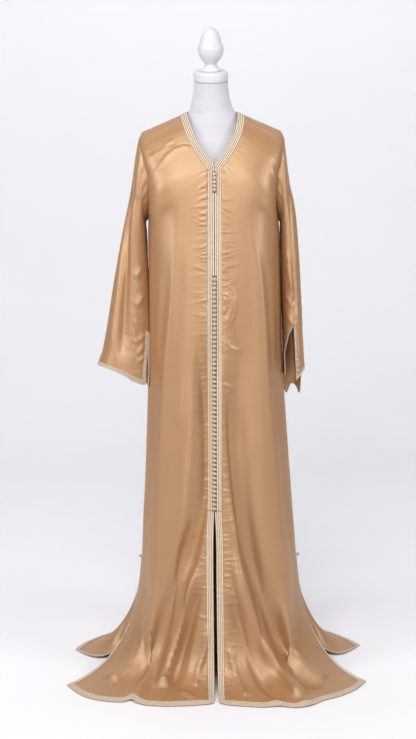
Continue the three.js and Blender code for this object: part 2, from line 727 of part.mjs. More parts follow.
const sleeves = {};
for (const side of [-1, 1]) {
  const name = sideName(side);
  const { grid, firstNormals, open, last } = sleeveGrid(side);
  const wrapped = grid.map((line, r) => (r <= open ? [line[last - 1], ...line, line[1]] : [line[0], ...line, line[last]]));
  const turn = side < 0 ? -1 : 1;
  const normals = grid.map((line, r) =>
    line.map((p, k) => {
      const a = wrapped[r][k];
      const b = wrapped[r][k + 2];
      const c = grid[Math.max(r - 1, 0)][k];
      const d = grid[Math.min(r + 1, grid.length - 1)][k];
      const n = b.clone().sub(a).cross(d.clone().sub(c));
      return n.multiplyScalar(turn / n.length());
    }),
  );
  firstNormals.forEach((n, k) => normals[0][k].copy(n));
  for (let r = 0; r <= open; r++) normals[r][last].copy(normals[r][0]);
  sleeves[side] = { grid, normals, last };
  const addTurned = (cloth, row, k) => {
    if (side < 0) cloth.cell(grid, normals, row, k);
    else cloth.cell(flipped(grid), flipped(normals), row, flippedColumn(grid, k));
  };
  const sleeve = new Cloth();
  for (let row = 0; row < SLEEVE_RINGS; row++) for (let k = 0; k < last; k++) addTurned(sleeve, row, k);
  place("sleeve_" + name, sleeve.solid(-WALL, 0), "satin");

  const cuff = new Cloth();
  for (let row = open - 1; row < SLEEVE_RINGS; row++)
    for (let k = 0; k < last; k++)
      if (k === 0 || k === last - 1 || row === SLEEVE_RINGS - 1) addTurned(cuff, row, k);
  place("cuff_braid_" + name, cuff.solid(SEAM, SEAM + BRAID), "braid");
}

// Dress form: rings up to the shoulders, then the shoulder slope and the neck.
const SHOULDER_DROP = WALL + 0.6;
function torsoRing(z, half, front, back, coreHalf, coreFront, coreBack, shift) {
  const ring = [];
  for (let i = 0; i < TORSO_SIDES; i++) {
    const angle = (i / TORSO_SIDES) * Math.PI * 2;
    const c = Math.cos(angle);
    const s = Math.sin(angle);
    const x = Math.sign(c) * Math.pow(Math.abs(c), 0.92) * half;
    const inCore = Math.sqrt(Math.max(1 - (x / coreHalf) ** 2, 0));
    const outer = (s > 0 ? back : front) * Math.pow(Math.abs(s), 0.92);
    const core = (s > 0 ? coreBack : coreFront) * inCore;
    const deep = Math.pow(outer ** 4 + core ** 4, 0.25);
    ring.push(vector(x + shift, Math.sign(s) * deep, z));
  }
  return ring;
}

// A closed solid from a stack of rings with the same number of points.
function stack(rings) {
  const count = rings[0].length;
  const vertices = rings.flat();
  const index = [];
  for (let r = 0; r + 1 < rings.length; r++)
    for (let i = 0; i < count; i++) {
      const a = r * count + i;
      const b = r * count + ((i + 1) % count);
      index.push(a, b, b + count, a, b + count, a + count);
    }
  for (const [start, up] of [[0, false], [(rings.length - 1) * count, true]]) {
    const middle = vertices.length;
    const centre = vector(0, 0, 0);
    for (let i = 0; i < count; i++) centre.addScaledVector(vertices[start + i], 1 / count);
    vertices.push(centre);
    for (let i = 0; i < count; i++) {
      const a = start + i;
      const b = start + ((i + 1) % count);
      index.push(middle, up ? a : b, up ? b : a);
    }
  }
  const geometry = new THREE.BufferGeometry();
  geometry.setAttribute("position", new THREE.Float32BufferAttribute(vertices.flatMap((v) => v.toArray()), 3));
  geometry.setIndex(index);
  return geometry;
}

{
  const ringOf = (row) => torsoRing(...row);
  const rings = TORSO.rows.map((row) => ringOf([...row, 0]));
  // Shoulder slope: each ring's ends lie just under the shoulder seams, round a narrower neck.
  for (const [half, shoulder, coreHalf, front, back] of SLOPE.rows) {
    const t = (half - 64) / 114;
    const z = 1470 - 49 * t - SHOULDER_DROP / Math.cos(Math.atan(49 / 114));
    rings.push(ringOf([z, half, shoulder, shoulder, coreHalf, front, back, 2 * (1 - t)]));
  }
  rings.push(ringOf([1475, 57, 46, 47, 1, 0, 0, 1]));
  rings.push(ringOf([1487, 56, 47, 48, 1, 0, 0, 0]));
  rings.push(ringOf([1510, 51, 47, 44, 1, 0, 0, 0]));
  rings.push(ringOf([1548, 44, 52, 34, 1, 0, 0, 0]));
  rings[rings.length - 1].forEach((p) => (p.z += (p.y + 9) * 0.17));
  place("form_torso", stack(rings), "form");
}

const CAP_LEAN = (10 * Math.PI) / 180;
function turned(profile, segments) {
  return new THREE.LatheGeometry(profile.map(([r, z]) => new THREE.Vector2(r, z)), segments).rotateX(Math.PI / 2);
}
{
  const cap = turned([[0, 0], [40, 0], [43, 2], [44, 6], [44, 18], [42.5, 23], [38, 26], [0, 27]], 24);
  cap.rotateX(CAP_LEAN).translate(0, -10, 1548.4);
  place("form_neck_cap", cap, "form");
  const profile = [
    [0, 0], [20, 0], [15, 3], [10.5, 8], [9, 13], [10, 17], [17, 22], [26, 31], [32, 44], [33.5, 56],
    [31.5, 67], [27, 77], [19, 88], [11, 98], [5, 105], [0, 108],
  ];
  const finial = turned(profile, 20);
  finial.rotateX(CAP_LEAN).translate(0, -14.8, 1575.4);
  place("form_finial", finial, "form");
  place("form_pole", turned([[0, 12.3], [12, 12.3], [12, 791.7], [0, 791.7]], 14), "stand");
  place("form_base", turned([[0, 0], [150, 0], [150, 6], [144, 12], [0, 12]], 32), "stand");
}

// Ball buttons down the middle, lying on the braid.
function middleLine() {
  const line = [];
  for (let row = 6; row <= SLIT_ROW; row++) {
    const left = fronts[-1];
    const right = fronts[1];
    const p = left.grid[row][0].clone().add(right.grid[row][0]).multiplyScalar(0.5);
    const n = left.normals[row][0].clone().add(right.normals[row][0]).normalize();
    line.push({ point: p, normal: n });
  }
  return line;
}

function onMiddle(z) {
  const line = middleLine();
  let i = 1;
  while (i < line.length - 1 && line[i].point.z > z) i++;
  const t = (line[i - 1].point.z - z) / (line[i - 1].point.z - line[i].point.z);
  return {
    point: line[i - 1].point.clone().lerp(line[i].point, t),
    normal: line[i - 1].normal.clone().lerp(line[i].normal, t).normalize(),
  };
}

const onBraid = SEAM + BRAID + SEAM;
for (let i = 0; i < 5; i++) {
  const { point, normal } = onMiddle(1317 - i * 9.75);
  const ball = new THREE.SphereGeometry(NECK_BUTTON_RADIUS, 10, 6);
  const centre = point.addScaledVector(normal, onBraid + NECK_BUTTON_RADIUS);
  ball.rotateX(Math.PI / 2).translate(centre.x, centre.y, centre.z);
  place("neck_button_" + (i + 1), ball, "braid");
}

// Small buttons on the outer edge of the right cuff slit.
{
  const { grid, normals, last } = sleeves[1];
  for (let i = 0; i < CUFF_BUTTONS; i++) {
    const z = mix(CUFF_BUTTON_TOP, CUFF_BUTTON_BOTTOM, i / (CUFF_BUTTONS - 1));
    let r = 1;
    while (r < SLEEVE_RINGS && grid[r][last].z > z) r++;
    const t = (grid[r - 1][last].z - z) / (grid[r - 1][last].z - grid[r][last].z);
    const edge = grid[r - 1][last].clone().lerp(grid[r][last], t);
    const next = grid[r - 1][last - 1].clone().lerp(grid[r][last - 1], t);
    const normal = normals[r - 1][last].clone().lerp(normals[r][last], t).normalize();
    const centre = edge.lerp(next, 0.3).addScaledVector(normal, onBraid + 0.5 + CUFF_BUTTON_RADIUS);
    const ball = new THREE.SphereGeometry(CUFF_BUTTON_RADIUS, 6, 4).rotateX(Math.PI / 2);
    ball.translate(centre.x, centre.y, centre.z);
    place("cuff_button_right_" + (i + 1), ball, "braid");
  }
}

const wasm = await Module();
wasm.setup();

function toManifold(geometry) {
  const flat = geometry.index ? geometry.toNonIndexed() : geometry;
  const position = flat.getAttribute("position");
  const known = new Map();
  const vertProperties = [];
  const triVerts = [];
  for (let i = 0; i < position.count; i++) {
    const v = [position.getX(i), position.getY(i), position.getZ(i)];
    const key = v.map((c) => Math.round(c * 1e4)).join();
    if (!known.has(key)) {
      known.set(key, vertProperties.length / 3);
      vertProperties.push(...v);
    }
    triVerts.push(known.get(key));
  }
  const kept = [];
  for (let i = 0; i < triVerts.length; i += 3) {
    const [a, b, c] = triVerts.slice(i, i + 3);
    if (a !== b && b !== c && c !== a) kept.push(a, b, c);
  }
  const mesh = new wasm.Mesh({
    numProp: 3,
    vertProperties: new Float32Array(vertProperties),
    triVerts: new Uint32Array(kept),
  });
  return new wasm.Manifold(mesh);
}

function fromManifold(solid) {
  const mesh = solid.getMesh();
  const geometry = new THREE.BufferGeometry();
  const position = new Float32Array(mesh.numVert * 3);
  for (let i = 0; i < mesh.numVert; i++)
    for (let c = 0; c < 3; c++) position[i * 3 + c] = mesh.vertProperties[i * mesh.numProp + c];
  geometry.setAttribute("position", new THREE.BufferAttribute(position, 3));
  geometry.setIndex(new THREE.BufferAttribute(mesh.triVerts, 1));
  return geometry;
}

// The long button row: balls joined by the cord that carries their loops.
{
  const heights = [ROW_TOP + 2];
  for (const { point } of middleLine()) if (point.z < ROW_TOP && point.z > ROW_BOTTOM) heights.push(point.z);
  heights.push(ROW_BOTTOM - 2);
  const cord = new Cloth();
  const grid = heights.map((z) => {
    const { point } = onMiddle(z);
    return [vector(point.x - 1.6, point.y, point.z), vector(point.x + 1.6, point.y, point.z)];
  });
  const normals = heights.map((z) => [onMiddle(z).normal, onMiddle(z).normal]);
  for (let row = 0; row + 1 < grid.length; row++) cord.cell(grid, normals, row, 0);
  let row = toManifold(cord.solid(onBraid, onBraid + 1.6));
  const balls = [];
  for (let i = 0; i < ROW_BUTTONS; i++) {
    const z = mix(ROW_TOP - ROW_BUTTON_RADIUS, ROW_BOTTOM + ROW_BUTTON_RADIUS, i / (ROW_BUTTONS - 1));
    const { point, normal } = onMiddle(z);
    const centre = point.addScaledVector(normal, onBraid + ROW_BUTTON_RADIUS);
    const ball = new THREE.SphereGeometry(ROW_BUTTON_RADIUS, 6, 3).rotateX(Math.PI / 2);
    ball.translate(centre.x, centre.y, centre.z);
    balls.push(toManifold(ball));
  }
  row = wasm.Manifold.union([row, ...balls]);
  place("closure_button_row", fromManifold(row), "braid");
}

// Knots standing out from the tops of the side slits.
for (const side of [-1, 1]) {
  const { grid } = fronts[side];
  const p = grid[SIDE_SLIT_ROW][grid[0].length - 1];
  const knot = new THREE.SphereGeometry(4.5, 8, 5).rotateX(Math.PI / 2);
  knot.translate(p.x + side * 4.65, 0, p.z + 6);
  place("slit_knot_" + sideName(side), knot, "braid");
}

export default part;
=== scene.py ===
"""Satin underdress on a limbless dress form: cloth, braid, ball buttons, the form and its stand."""
import math

import bpy
import numpy as np
from mathutils import Euler, Matrix, Vector


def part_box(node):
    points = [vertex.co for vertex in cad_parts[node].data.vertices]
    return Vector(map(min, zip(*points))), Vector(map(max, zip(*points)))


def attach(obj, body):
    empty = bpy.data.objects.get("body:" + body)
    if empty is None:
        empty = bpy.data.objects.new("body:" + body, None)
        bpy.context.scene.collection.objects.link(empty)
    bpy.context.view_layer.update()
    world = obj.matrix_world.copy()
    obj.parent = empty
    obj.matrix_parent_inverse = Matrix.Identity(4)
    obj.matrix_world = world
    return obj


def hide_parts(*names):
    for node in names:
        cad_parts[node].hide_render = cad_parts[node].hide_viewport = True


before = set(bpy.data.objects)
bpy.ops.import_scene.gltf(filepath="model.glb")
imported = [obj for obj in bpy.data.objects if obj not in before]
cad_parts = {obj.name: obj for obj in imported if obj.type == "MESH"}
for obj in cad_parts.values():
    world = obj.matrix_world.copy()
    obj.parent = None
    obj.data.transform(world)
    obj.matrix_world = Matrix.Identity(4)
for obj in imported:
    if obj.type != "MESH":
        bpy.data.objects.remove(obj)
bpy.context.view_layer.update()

# Sizes in millimetres, as in the solids; meshes are made in metres.
MM = 0.001
CLOTH = 0.8  # thickness of the cloth
WALL = 1.5  # lowest height of the cloth's outer face, where it lies on the floor
GAP = 0.35  # space between the cloth and the braid on it
HALF_SEAM = 0.15  # half the gap between two pieces sewn edge to edge
NECK_BRAID_WIDTH = 19
PLACKET_BRAID_WIDTH = 18
HEM_BRAID_WIDTH = 19
SIDE_TRIM_WIDTH = 5
SIDE_COLUMN = 17  # width of the last column above the side slits

# Rows run from the shoulder down, columns from the middle out.
SIDE_SLIT_ROW = 23  # row at which the side slits open
BRAID_ROW, HEM_ROW = 36, 37  # inner and outer edge of the hem braid
FRONT_EDGE, BACK_EDGE = 14, 10  # last column of a front and of half the back
FINE = 160

# Back of the neck and slope of the shoulders
NECK_PLACE = 0.42
NECK_SHIFT, NECK_HALF, NECK_DEPTH = 2, 64, 58
NECK_MIDDLE, NECK_TOP, SHOULDER_TOP = 1466, 1470, 1421
SHOULDER_HALF = 178

SIDES = (-1, 1)  # the viewer's left and right
NAMES = {-1: "left", 1: "right"}

# Front of the dress by row: the closed edge, the side edge and the roundness between them.
FRONT = {
    "columns": ["row", "middle", "gap", "zIn", "yIn", "zOut", "yOut", "shift", "half", "square", "bulge"],
    "rows": [
        [0, 2, 128, 1470, 0, 1421, 0, 0, 178, 0.9, 0],
        [1, 4, 125, 1457, -36, 1411, -25, 0, 182, 0.9, 5],
        [2, 5.5, 116, 1438, -60, 1388, -46, 0, 182, 0.8, 9],
        [3, 6.5, 98, 1413, -78, 1352, -60, 1, 176, 0.7, 15],
        [4, 6.5, 74, 1389, -91, 1310, -65, 1, 165, 0.65, 21],
        [5, 6.5, 40, 1363, -103, 1268, -60, 1, 162, 0.6, 24],
        [6, 6, 0.9, 1335, -113, 1232, -46, 1, 163, 0.6, 20],
        [7, 6, 0.9, 1293, -121, 1208, -25, 2, 166, 0.6, 14],
        [8, 5.5, 0.9, 1240, -127, 1200, 0, 3, 168, 0.6, 8],
        [9, 5, 0.9, 1185, -130, 1160, 0, 3.5, 170, 0.6, 5],
        [10, 4.5, 0.9, 1122, -133, 1115, 0, 4, 171, 0.6, 4],
        [11, 4, 0.9, 1060, -136, 1060, 0, 4.5, 172, 0.6, 3],
        [13, 2.5, 0.9, 930, -144, 930, 0, 5, 174, 0.62, 2],
        [15, 1.3, 0.9, 790, -152, 790, 0, 5.5, 178, 0.64, 0],
        [18, -0.5, 0.9, 580, -166, 580, 0, 6.5, 189, 0.66, 0],
        [20, -2, 1.2, 457, -176, 457, 0, 7.5, 197, 0.68, 0],
        [21, -2.3, 6, 400, -181, 400, 0, 8, 201, 0.7, 0],
        [22, -2.6, 8, 340, -186, 340, 0, 9, 205, 0.7, 0],
        [23, -3, 8, 282, -190, 282, 0, 9.5, 208.5, 0.7, 0],
    ],
}

# Back of the dress by row: its middle line. Side edges are shared with the front.
BACK = {
    "columns": ["row", "zIn", "yIn", "square", "bulge", "neck"],
    "rows": [
        [0, 1466, 58, 0.9, 0, 1],
        [1, 1449, 66, 0.85, 0, 0.55],
        [2, 1428, 77, 0.8, 0, 0.24],
        [3, 1400, 88, 0.75, 2, 0.08],
        [4, 1368, 97, 0.7, 4, 0],
        [5, 1335, 103, 0.66, 6, 0],
        [6, 1300, 107, 0.62, 8, 0],
        [7, 1262, 108, 0.6, 6, 0],
        [8, 1222, 108, 0.6, 4, 0],
        [9, 1176, 107, 0.6, 2, 0],
        [10, 1120, 107, 0.6, 0, 0],
        [11, 1060, 109, 0.6, 0, 0],
        [13, 930, 116, 0.62, 0, 0],
        [15, 790, 126, 0.64, 0, 0],
        [18, 580, 141, 0.66, 0, 0],
        [20, 457, 151, 0.68, 0, 0],
        [21, 400, 156, 0.7, 0, 0],
        [22, 340, 161, 0.7, 0, 0],
        [23, 282, 166, 0.7, 0, 0],
    ],
}

# Hems on the floor, from the middle (share 0) to the tip at the side slit (share 1).
HEM_COLUMNS = ["share", "x", "y"]
HEMS = {
    ("front", -1): {"columns": HEM_COLUMNS, "rows": [
        [0, -7, -340], [0.1, -36, -346], [0.22, -75, -351], [0.36, -125, -353], [0.5, -176, -346],
        [0.58, -203, -331], [0.63, -219, -310], [0.69, -244, -323], [0.8, -296, -311],
        [0.88, -334, -289], [0.94, -363, -254], [1, -393, -203]]},
    ("front", 1): {"columns": HEM_COLUMNS, "rows": [
        [0, 4, -340], [0.1, 32, -351], [0.22, 72, -359], [0.36, 119, -366], [0.46, 153, -361],
        [0.57, 194, -371], [0.68, 228, -362], [0.79, 271, -325], [0.88, 315, -297],
        [0.94, 358, -254], [1, 390, -199]]},
    ("back", -1): {"columns": HEM_COLUMNS, "rows": [
        [0, 2, 360], [0.22, -100, 340], [0.45, -205, 276], [0.62, -279, 211], [0.8, -338, 155],
        [0.92, -376, 104], [1, -393, 62]]},
    ("back", 1): {"columns": HEM_COLUMNS, "rows": [
        [0, 2, 360], [0.22, 106, 342], [0.45, 215, 276], [0.62, 295, 208], [0.8, 340, 161],
        [0.92, 381, 107], [1, 400, 71]]},
}

# Largest folds: share across and row where each starts and ends, its width (share) and height out.
FOLDS = {
    ("front", -1): [
        [0.42, 0.6, 7, 34, 0.1, 6], [0.16, 0.3, 16, 33, 0.07, -9], [0.28, 0.45, 18, 36, 0.06, 5],
        [0.7, 0.76, 9, 30, 0.08, -6], [0.5, 0.63, 22, 39, 0.05, 12], [0.66, 0.78, 24, 36, 0.06, -7]],
    ("front", 1): [
        [0.46, 0.62, 7, 34, 0.1, 6], [0.1, 0.3, 15, 33, 0.06, 7], [0.2, 0.42, 16, 35, 0.07, -9],
        [0.72, 0.78, 9, 30, 0.08, -6], [0.55, 0.68, 23, 38, 0.05, 10], [0.36, 0.46, 26, 38, 0.05, 7]],
    ("back", -1): [
        [0.2, 0.26, 6, 35, 0.1, -8], [0.45, 0.5, 8, 36, 0.09, 7], [0.66, 0.7, 12, 33, 0.07, -7]],
    ("back", 1): [
        [0.26, 0.3, 7, 36, 0.1, -9], [0.5, 0.56, 9, 35, 0.09, 7], [0.72, 0.74, 14, 34, 0.07, -6]],
}

# Sleeves by ring: outermost and innermost points, depth in front and behind, and how full the front is.
SLEEVE_COLUMNS = ["ring", "xOuter", "zOuter", "xInner", "zInner", "yFront", "yBack", "yInner"]
SLEEVES = {
    -1: {"columns": SLEEVE_COLUMNS, "rows": [
        [1, -187, 1400, -171, 1192, -66, 62, 0],
        [2, -195, 1368, -173, 1184, -66, 62, 0],
        [3, -202, 1328, -171.5, 1176, -65, 61, -3],
        [4, -208, 1290, -170, 1166, -64, 60, -6],
        [5, -216, 1247, -169, 1150, -63, 57, -10],
        [6, -226, 1196, -168, 1122, -62, 52, -16],
        [7, -238, 1134, -167.5, 1078, -62, 46, -24],
        [8, -250, 1070, -167, 1022, -63, 38, -32],
        [9, -262, 1005, -167, 962, -65, 30, -39],
        [10, -274, 947, -167, 905, -68, 24, -46],
        [11, -285, 895, -168.5, 852, -71, 18, -51],
        [12, -294, 853, -170, 806, -73, 13, -55],
        [13, -302, 829, -171, 781, -74, 10, -57],
        [14, -306, 814, -171.5, 764, -75, 8, -58]]},
    1: {"columns": SLEEVE_COLUMNS, "rows": [
        [1, 187, 1400, 172, 1192, -66, 62, 0],
        [2, 192, 1364, 176, 1184, -67, 63, 0],
        [3, 197, 1322, 176, 1176, -67, 64, 0],
        [4, 203, 1280, 175.5, 1166, -68, 65, 0],
        [5, 212, 1240, 175.2, 1150, -69, 66, 0],
        [6, 217, 1190, 175.8, 1122, -71, 67, 0],
        [7, 221, 1130, 177, 1078, -73, 68, 0],
        [8, 226, 1060, 178.2, 1022, -76, 68, 0],
        [9, 230, 995, 179.5, 962, -79, 68, 0],
        [10, 233, 930, 181, 905, -82, 68, 0],
        [11, 236, 880, 182.6, 852, -84, 68, 0],
        [12, 238, 838, 184, 812, -86, 67, 0],
        [13, 239, 820, 184.5, 797, -87, 66, 0],
        [14, 239, 802, 185, 784, -88, 66, 0]]},
}
SLEEVE_RINGS = 14
SLEEVE_SLIT = {-1: 11, 1: 10}  # ring at the top of each cuff slit
SLIT_OPEN = {-1: (3, 3), 1: (46, 1)}  # how far the slit's edges are drawn aside
SLIT_PLACE = {-1: 7, 1: 4}  # where the slit runs, in sixteenths round the sleeve
CUFF_DROPS = {
    -1: {"columns": ["column", "drop"], "rows": [[12, 0], [13, 3], [14, 10], [15, 9], [16, 2]]},
    1: {"columns": ["column", "drop"], "rows": [
        [2, 0], [4, 38], [5, 65], [6, 46], [7, 58], [8, 77], [9, 20], [11, 0], [13, 0], [14, 5],
        [15, 17], [16, 24]]},
}

# Dress form: height, half width and depth in front and behind, then the same for the ellipse at its core.
TORSO = [
    [792, 138, 96, 98, 1, 0, 0], [870, 150, 106, 104, 1, 0, 0], [960, 142, 100, 96, 1, 0, 0],
    [1050, 114, 86, 76, 1, 0, 0], [1130, 118, 90, 76, 1, 0, 0], [1210, 136, 104, 84, 1, 0, 0],
    [1270, 144, 112, 88, 1, 0, 0], [1320, 148, 103, 88, 1, 0, 0], [1362, 153, 86, 82, 1, 0, 0],
    [1395, 158, 56, 62, 100, 72, 68], [1414, 163, 36, 40, 90, 64, 62],
]
# Its shoulders under the sloping cloth: half width, depth, then the core.
SLOPE = [
    [162, 17, 92, 60, 58], [140, 14, 85, 57, 55], [118, 12, 77, 54, 52], [96, 11, 70, 51, 50],
    [78, 9, 65, 49, 49], [66, 5, 62, 47.5, 48], [62.5, 4, 61, 47, 48],
]
# Its neck: height, half width, depth in front and behind, and shift across.
NECK = [
    [1475, 57.5, 46.5, 47, 1], [1485, 53.5, 46.5, 47, 0], [1503, 48.5, 46.5, 45, 0], [1524, 45, 48, 40, 0],
    [1548, 43.6, 51, 34, 0],
]
SHOULDER_ROOM = 2.1  # between the cloth's outer face and the form at the shoulders


def clamp(t):
    return np.clip(t, 0, 1)


def ease(t):
    return clamp(t) ** 2 * (3 - 2 * clamp(t))


def mix(a, b, t):
    return a + (b - a) * t


def smooth(x, v, at):
    """Smooth values between knots that never overshoot them."""
    x, v = np.asarray(x, float), np.asarray(v, float)
    at = np.clip(at, x[0], x[-1])
    slope = np.diff(v) / np.diff(x)
    tangent = np.empty_like(v)
    tangent[0], tangent[-1] = slope[0], slope[-1]
    before, after = slope[:-1], slope[1:]
    same = before * after > 0
    tangent[1:-1] = np.where(same, 2 * before * after / np.where(same, before + after, 1), 0)
    i = np.clip(np.searchsorted(x, at, side="left") - 1, 0, len(x) - 2)
    step = x[i + 1] - x[i]
    t = (at - x[i]) / step
    t2, t3 = t * t, t * t * t
    return ((2 * t3 - 3 * t2 + 1) * v[i] + (t3 - 2 * t2 + t) * tangent[i] * step
            + (3 * t2 - 2 * t3) * v[i + 1] + (t3 - t2) * tangent[i + 1] * step)


def value_at(table, column, place):
    k = table["columns"].index(column)
    return smooth([r[0] for r in table["rows"]], [r[k] for r in table["rows"]], place)


def section(face, side, row, w):
    """Points of rows before spacing: w runs from the middle (0) to the side seam (1)."""
    front = face == "front"

    def shared(name):
        return value_at(FRONT, name, row)

    def own(name):
        return value_at(FRONT if front else BACK, name, row)

    x_out = shared("shift") + side * shared("half")
    angle = w * math.pi / 2
    x_in = shared("middle") + side * shared("gap") / 2 if front else shared("middle") * 0.4
    y_out = shared("yOut") if front else -shared("yOut")
    out = -1 if front else 1
    across = mix(w, np.sin(angle), clamp(row / 2))
    x = mix(x_in, x_out, across)
    y = mix(y_out, own("yIn"), np.maximum(np.cos(angle), 0) ** own("square"))
    z = mix(own("zIn"), shared("zOut"), across)
    return np.stack(np.broadcast_arrays(x, y + out * own("bulge") * np.sin(math.pi * w), z), -1)


def back_top(side, w):
    """The back's top edge: round the neck, then out along the shoulder."""
    angle = np.minimum(w / NECK_PLACE, 1) * math.pi / 2
    t = clamp((w - NECK_PLACE) / (1 - NECK_PLACE))
    on_neck = w <= NECK_PLACE
    x_neck = NECK_SHIFT + side * NECK_HALF * np.sin(angle)
    x_slope = mix(NECK_SHIFT + side * NECK_HALF, side * SHOULDER_HALF, t)
    y = np.where(on_neck, NECK_DEPTH * np.cos(angle), 0)
    z = np.where(on_neck, mix(NECK_MIDDLE, NECK_TOP, np.sin(angle)), mix(NECK_TOP, SHOULDER_TOP, t))
    return np.stack([np.where(on_neck, x_neck, x_slope), y, z], -1)


def raw_points(face, side, row, w):
    p = section(face, side, row, w)
    if face == "back":
        pull = value_at(BACK, "neck", row)[..., None]
        p = p + pull * (back_top(side, w) - section(face, side, np.zeros_like(row), w))
    return p


def lengths(line):
    """Distance from the first point to each point of a line."""
    step = np.linalg.norm(np.diff(line, axis=-2), axis=-1)
    return np.concatenate([np.zeros(step.shape[:-1] + (1,)), np.cumsum(step, -1)], -1)


def lengths_down(points):
    """Distance down each column of a grid of points."""
    return lengths(np.swapaxes(points, 0, 1)).T


def moved_along(line, along, d):
    """Points at distances d along a line."""
    return np.stack([np.interp(d, along, line[:, axis]) for axis in range(3)], -1)


W = np.sort(np.append(np.linspace(0, 1, FINE), NECK_PLACE))
top_edge = lengths(back_top(1, W))
NECK_SHARE = top_edge[np.searchsorted(W, NECK_PLACE)] / top_edge[-1]


def column_distance(face, row, total, cols):
    """Distance from the middle edge of columns that are numbered as in the solids."""
    side = mix(SIDE_COLUMN, SIDE_TRIM_WIDTH, clamp((row - 21) / 2))
    if face == "front":
        widening = 2 * float(clamp((8 - row) / 2))
        first = NECK_BRAID_WIDTH if row <= 5 else PLACKET_BRAID_WIDTH + widening
        return np.interp(cols, [0, 1, 13, FRONT_EDGE], [0, first, total - side, total])
    neck = total * NECK_SHARE
    return np.interp(cols, [0, 3, 4, 9, BACK_EDGE], [0, neck, neck + NECK_BRAID_WIDTH, total - side, total])


def upper_points(face, side, cols, rows):
    lines = raw_points(face, side, rows[:, None], W[None, :])
    along = lengths(lines)
    return np.stack([moved_along(line, far, column_distance(face, row, far[-1], cols))
                     for line, far, row in zip(lines, along, rows)])


def shares_of(face, cols):
    """Place of columns across a panel at the side slits, from 0 to 1."""
    width = 330
    return column_distance(face, SIDE_SLIT_ROW, width, cols) / width


def train_points(face, side, cols, start, rows):
    """The skirt below the side slits: it falls, bends and runs out along the floor to the hem."""
    hem = HEMS[face, side]
    share = shares_of(face, cols)
    end = np.stack([value_at(hem, "x", share), value_at(hem, "y", share)], -1)
    run = end - start[:, :2]
    level = np.zeros_like(share)
    corner = ease((share - 0.85) / 0.15)
    crown = 10 * (1 - 0.75 * corner)
    if face == "front":
        crown = crown * mix(0.4, 1, ease(share / 0.12))
        bow, edge, roundest = level, level[:, None], 0.8
    else:
        bow, edge, roundest = -38 * ease((share - 0.5) / 0.5), corner[:, None], 1.08
    soft = mix(mix(0.5, roundest, ease((share - 0.45) / 0.45))[:, None], 0.5, edge)
    angle = np.linspace(0, math.pi / 2, 140)[None, :]
    drop = np.sin(angle) ** soft
    bend = 1 - np.maximum(np.cos(angle), 0) ** soft
    go = 0.12 * drop + 0.88 * bend
    lift = crown[:, None] * np.sin(math.pi * clamp((go - 0.15) / 0.85)) ** 0.7
    swing = mix(bow[:, None] * np.sin(math.pi * go), -49 * np.sin(math.pi * clamp((go - 0.29) / 0.71)), edge)
    line = np.stack([
        start[:, :1] + run[:, :1] * go,
        start[:, 1:2] + run[:, 1:2] * go + swing,
        mix(start[:, 2:3], WALL, drop) + lift], -1)
    along = lengths(line)
    stops = [SIDE_SLIT_ROW, BRAID_ROW, HEM_ROW]
    return np.stack([moved_along(p, far, np.interp(rows, stops, [0, far[-1] - HEM_BRAID_WIDTH, far[-1]]))
                     for p, far in zip(line, along)], 1)


def fold_height(face, side, share, row):
    share, row = share[None, :], row[:, None]
    height = np.zeros(np.broadcast(share, row).shape)
    for top, end, row_top, row_end, width, out in FOLDS[face, side]:
        t = clamp((row - row_top) / (row_end - row_top))
        height += out * np.exp(-((share - mix(top, end, t)) / width) ** 2) * np.sin(math.pi * t) ** 0.6
    return height * ease(share / 0.06) * ease((1 - share) / 0.08)


def unit(v):
    return v / np.maximum(np.linalg.norm(v, axis=-1, keepdims=True), 1e-9)


def grid_normals(grid, turn):
    return unit(np.cross(np.gradient(grid, axis=1), np.gradient(grid, axis=0))) * turn


FAR = 1e12  # farther than any point, where a nearest one is sought


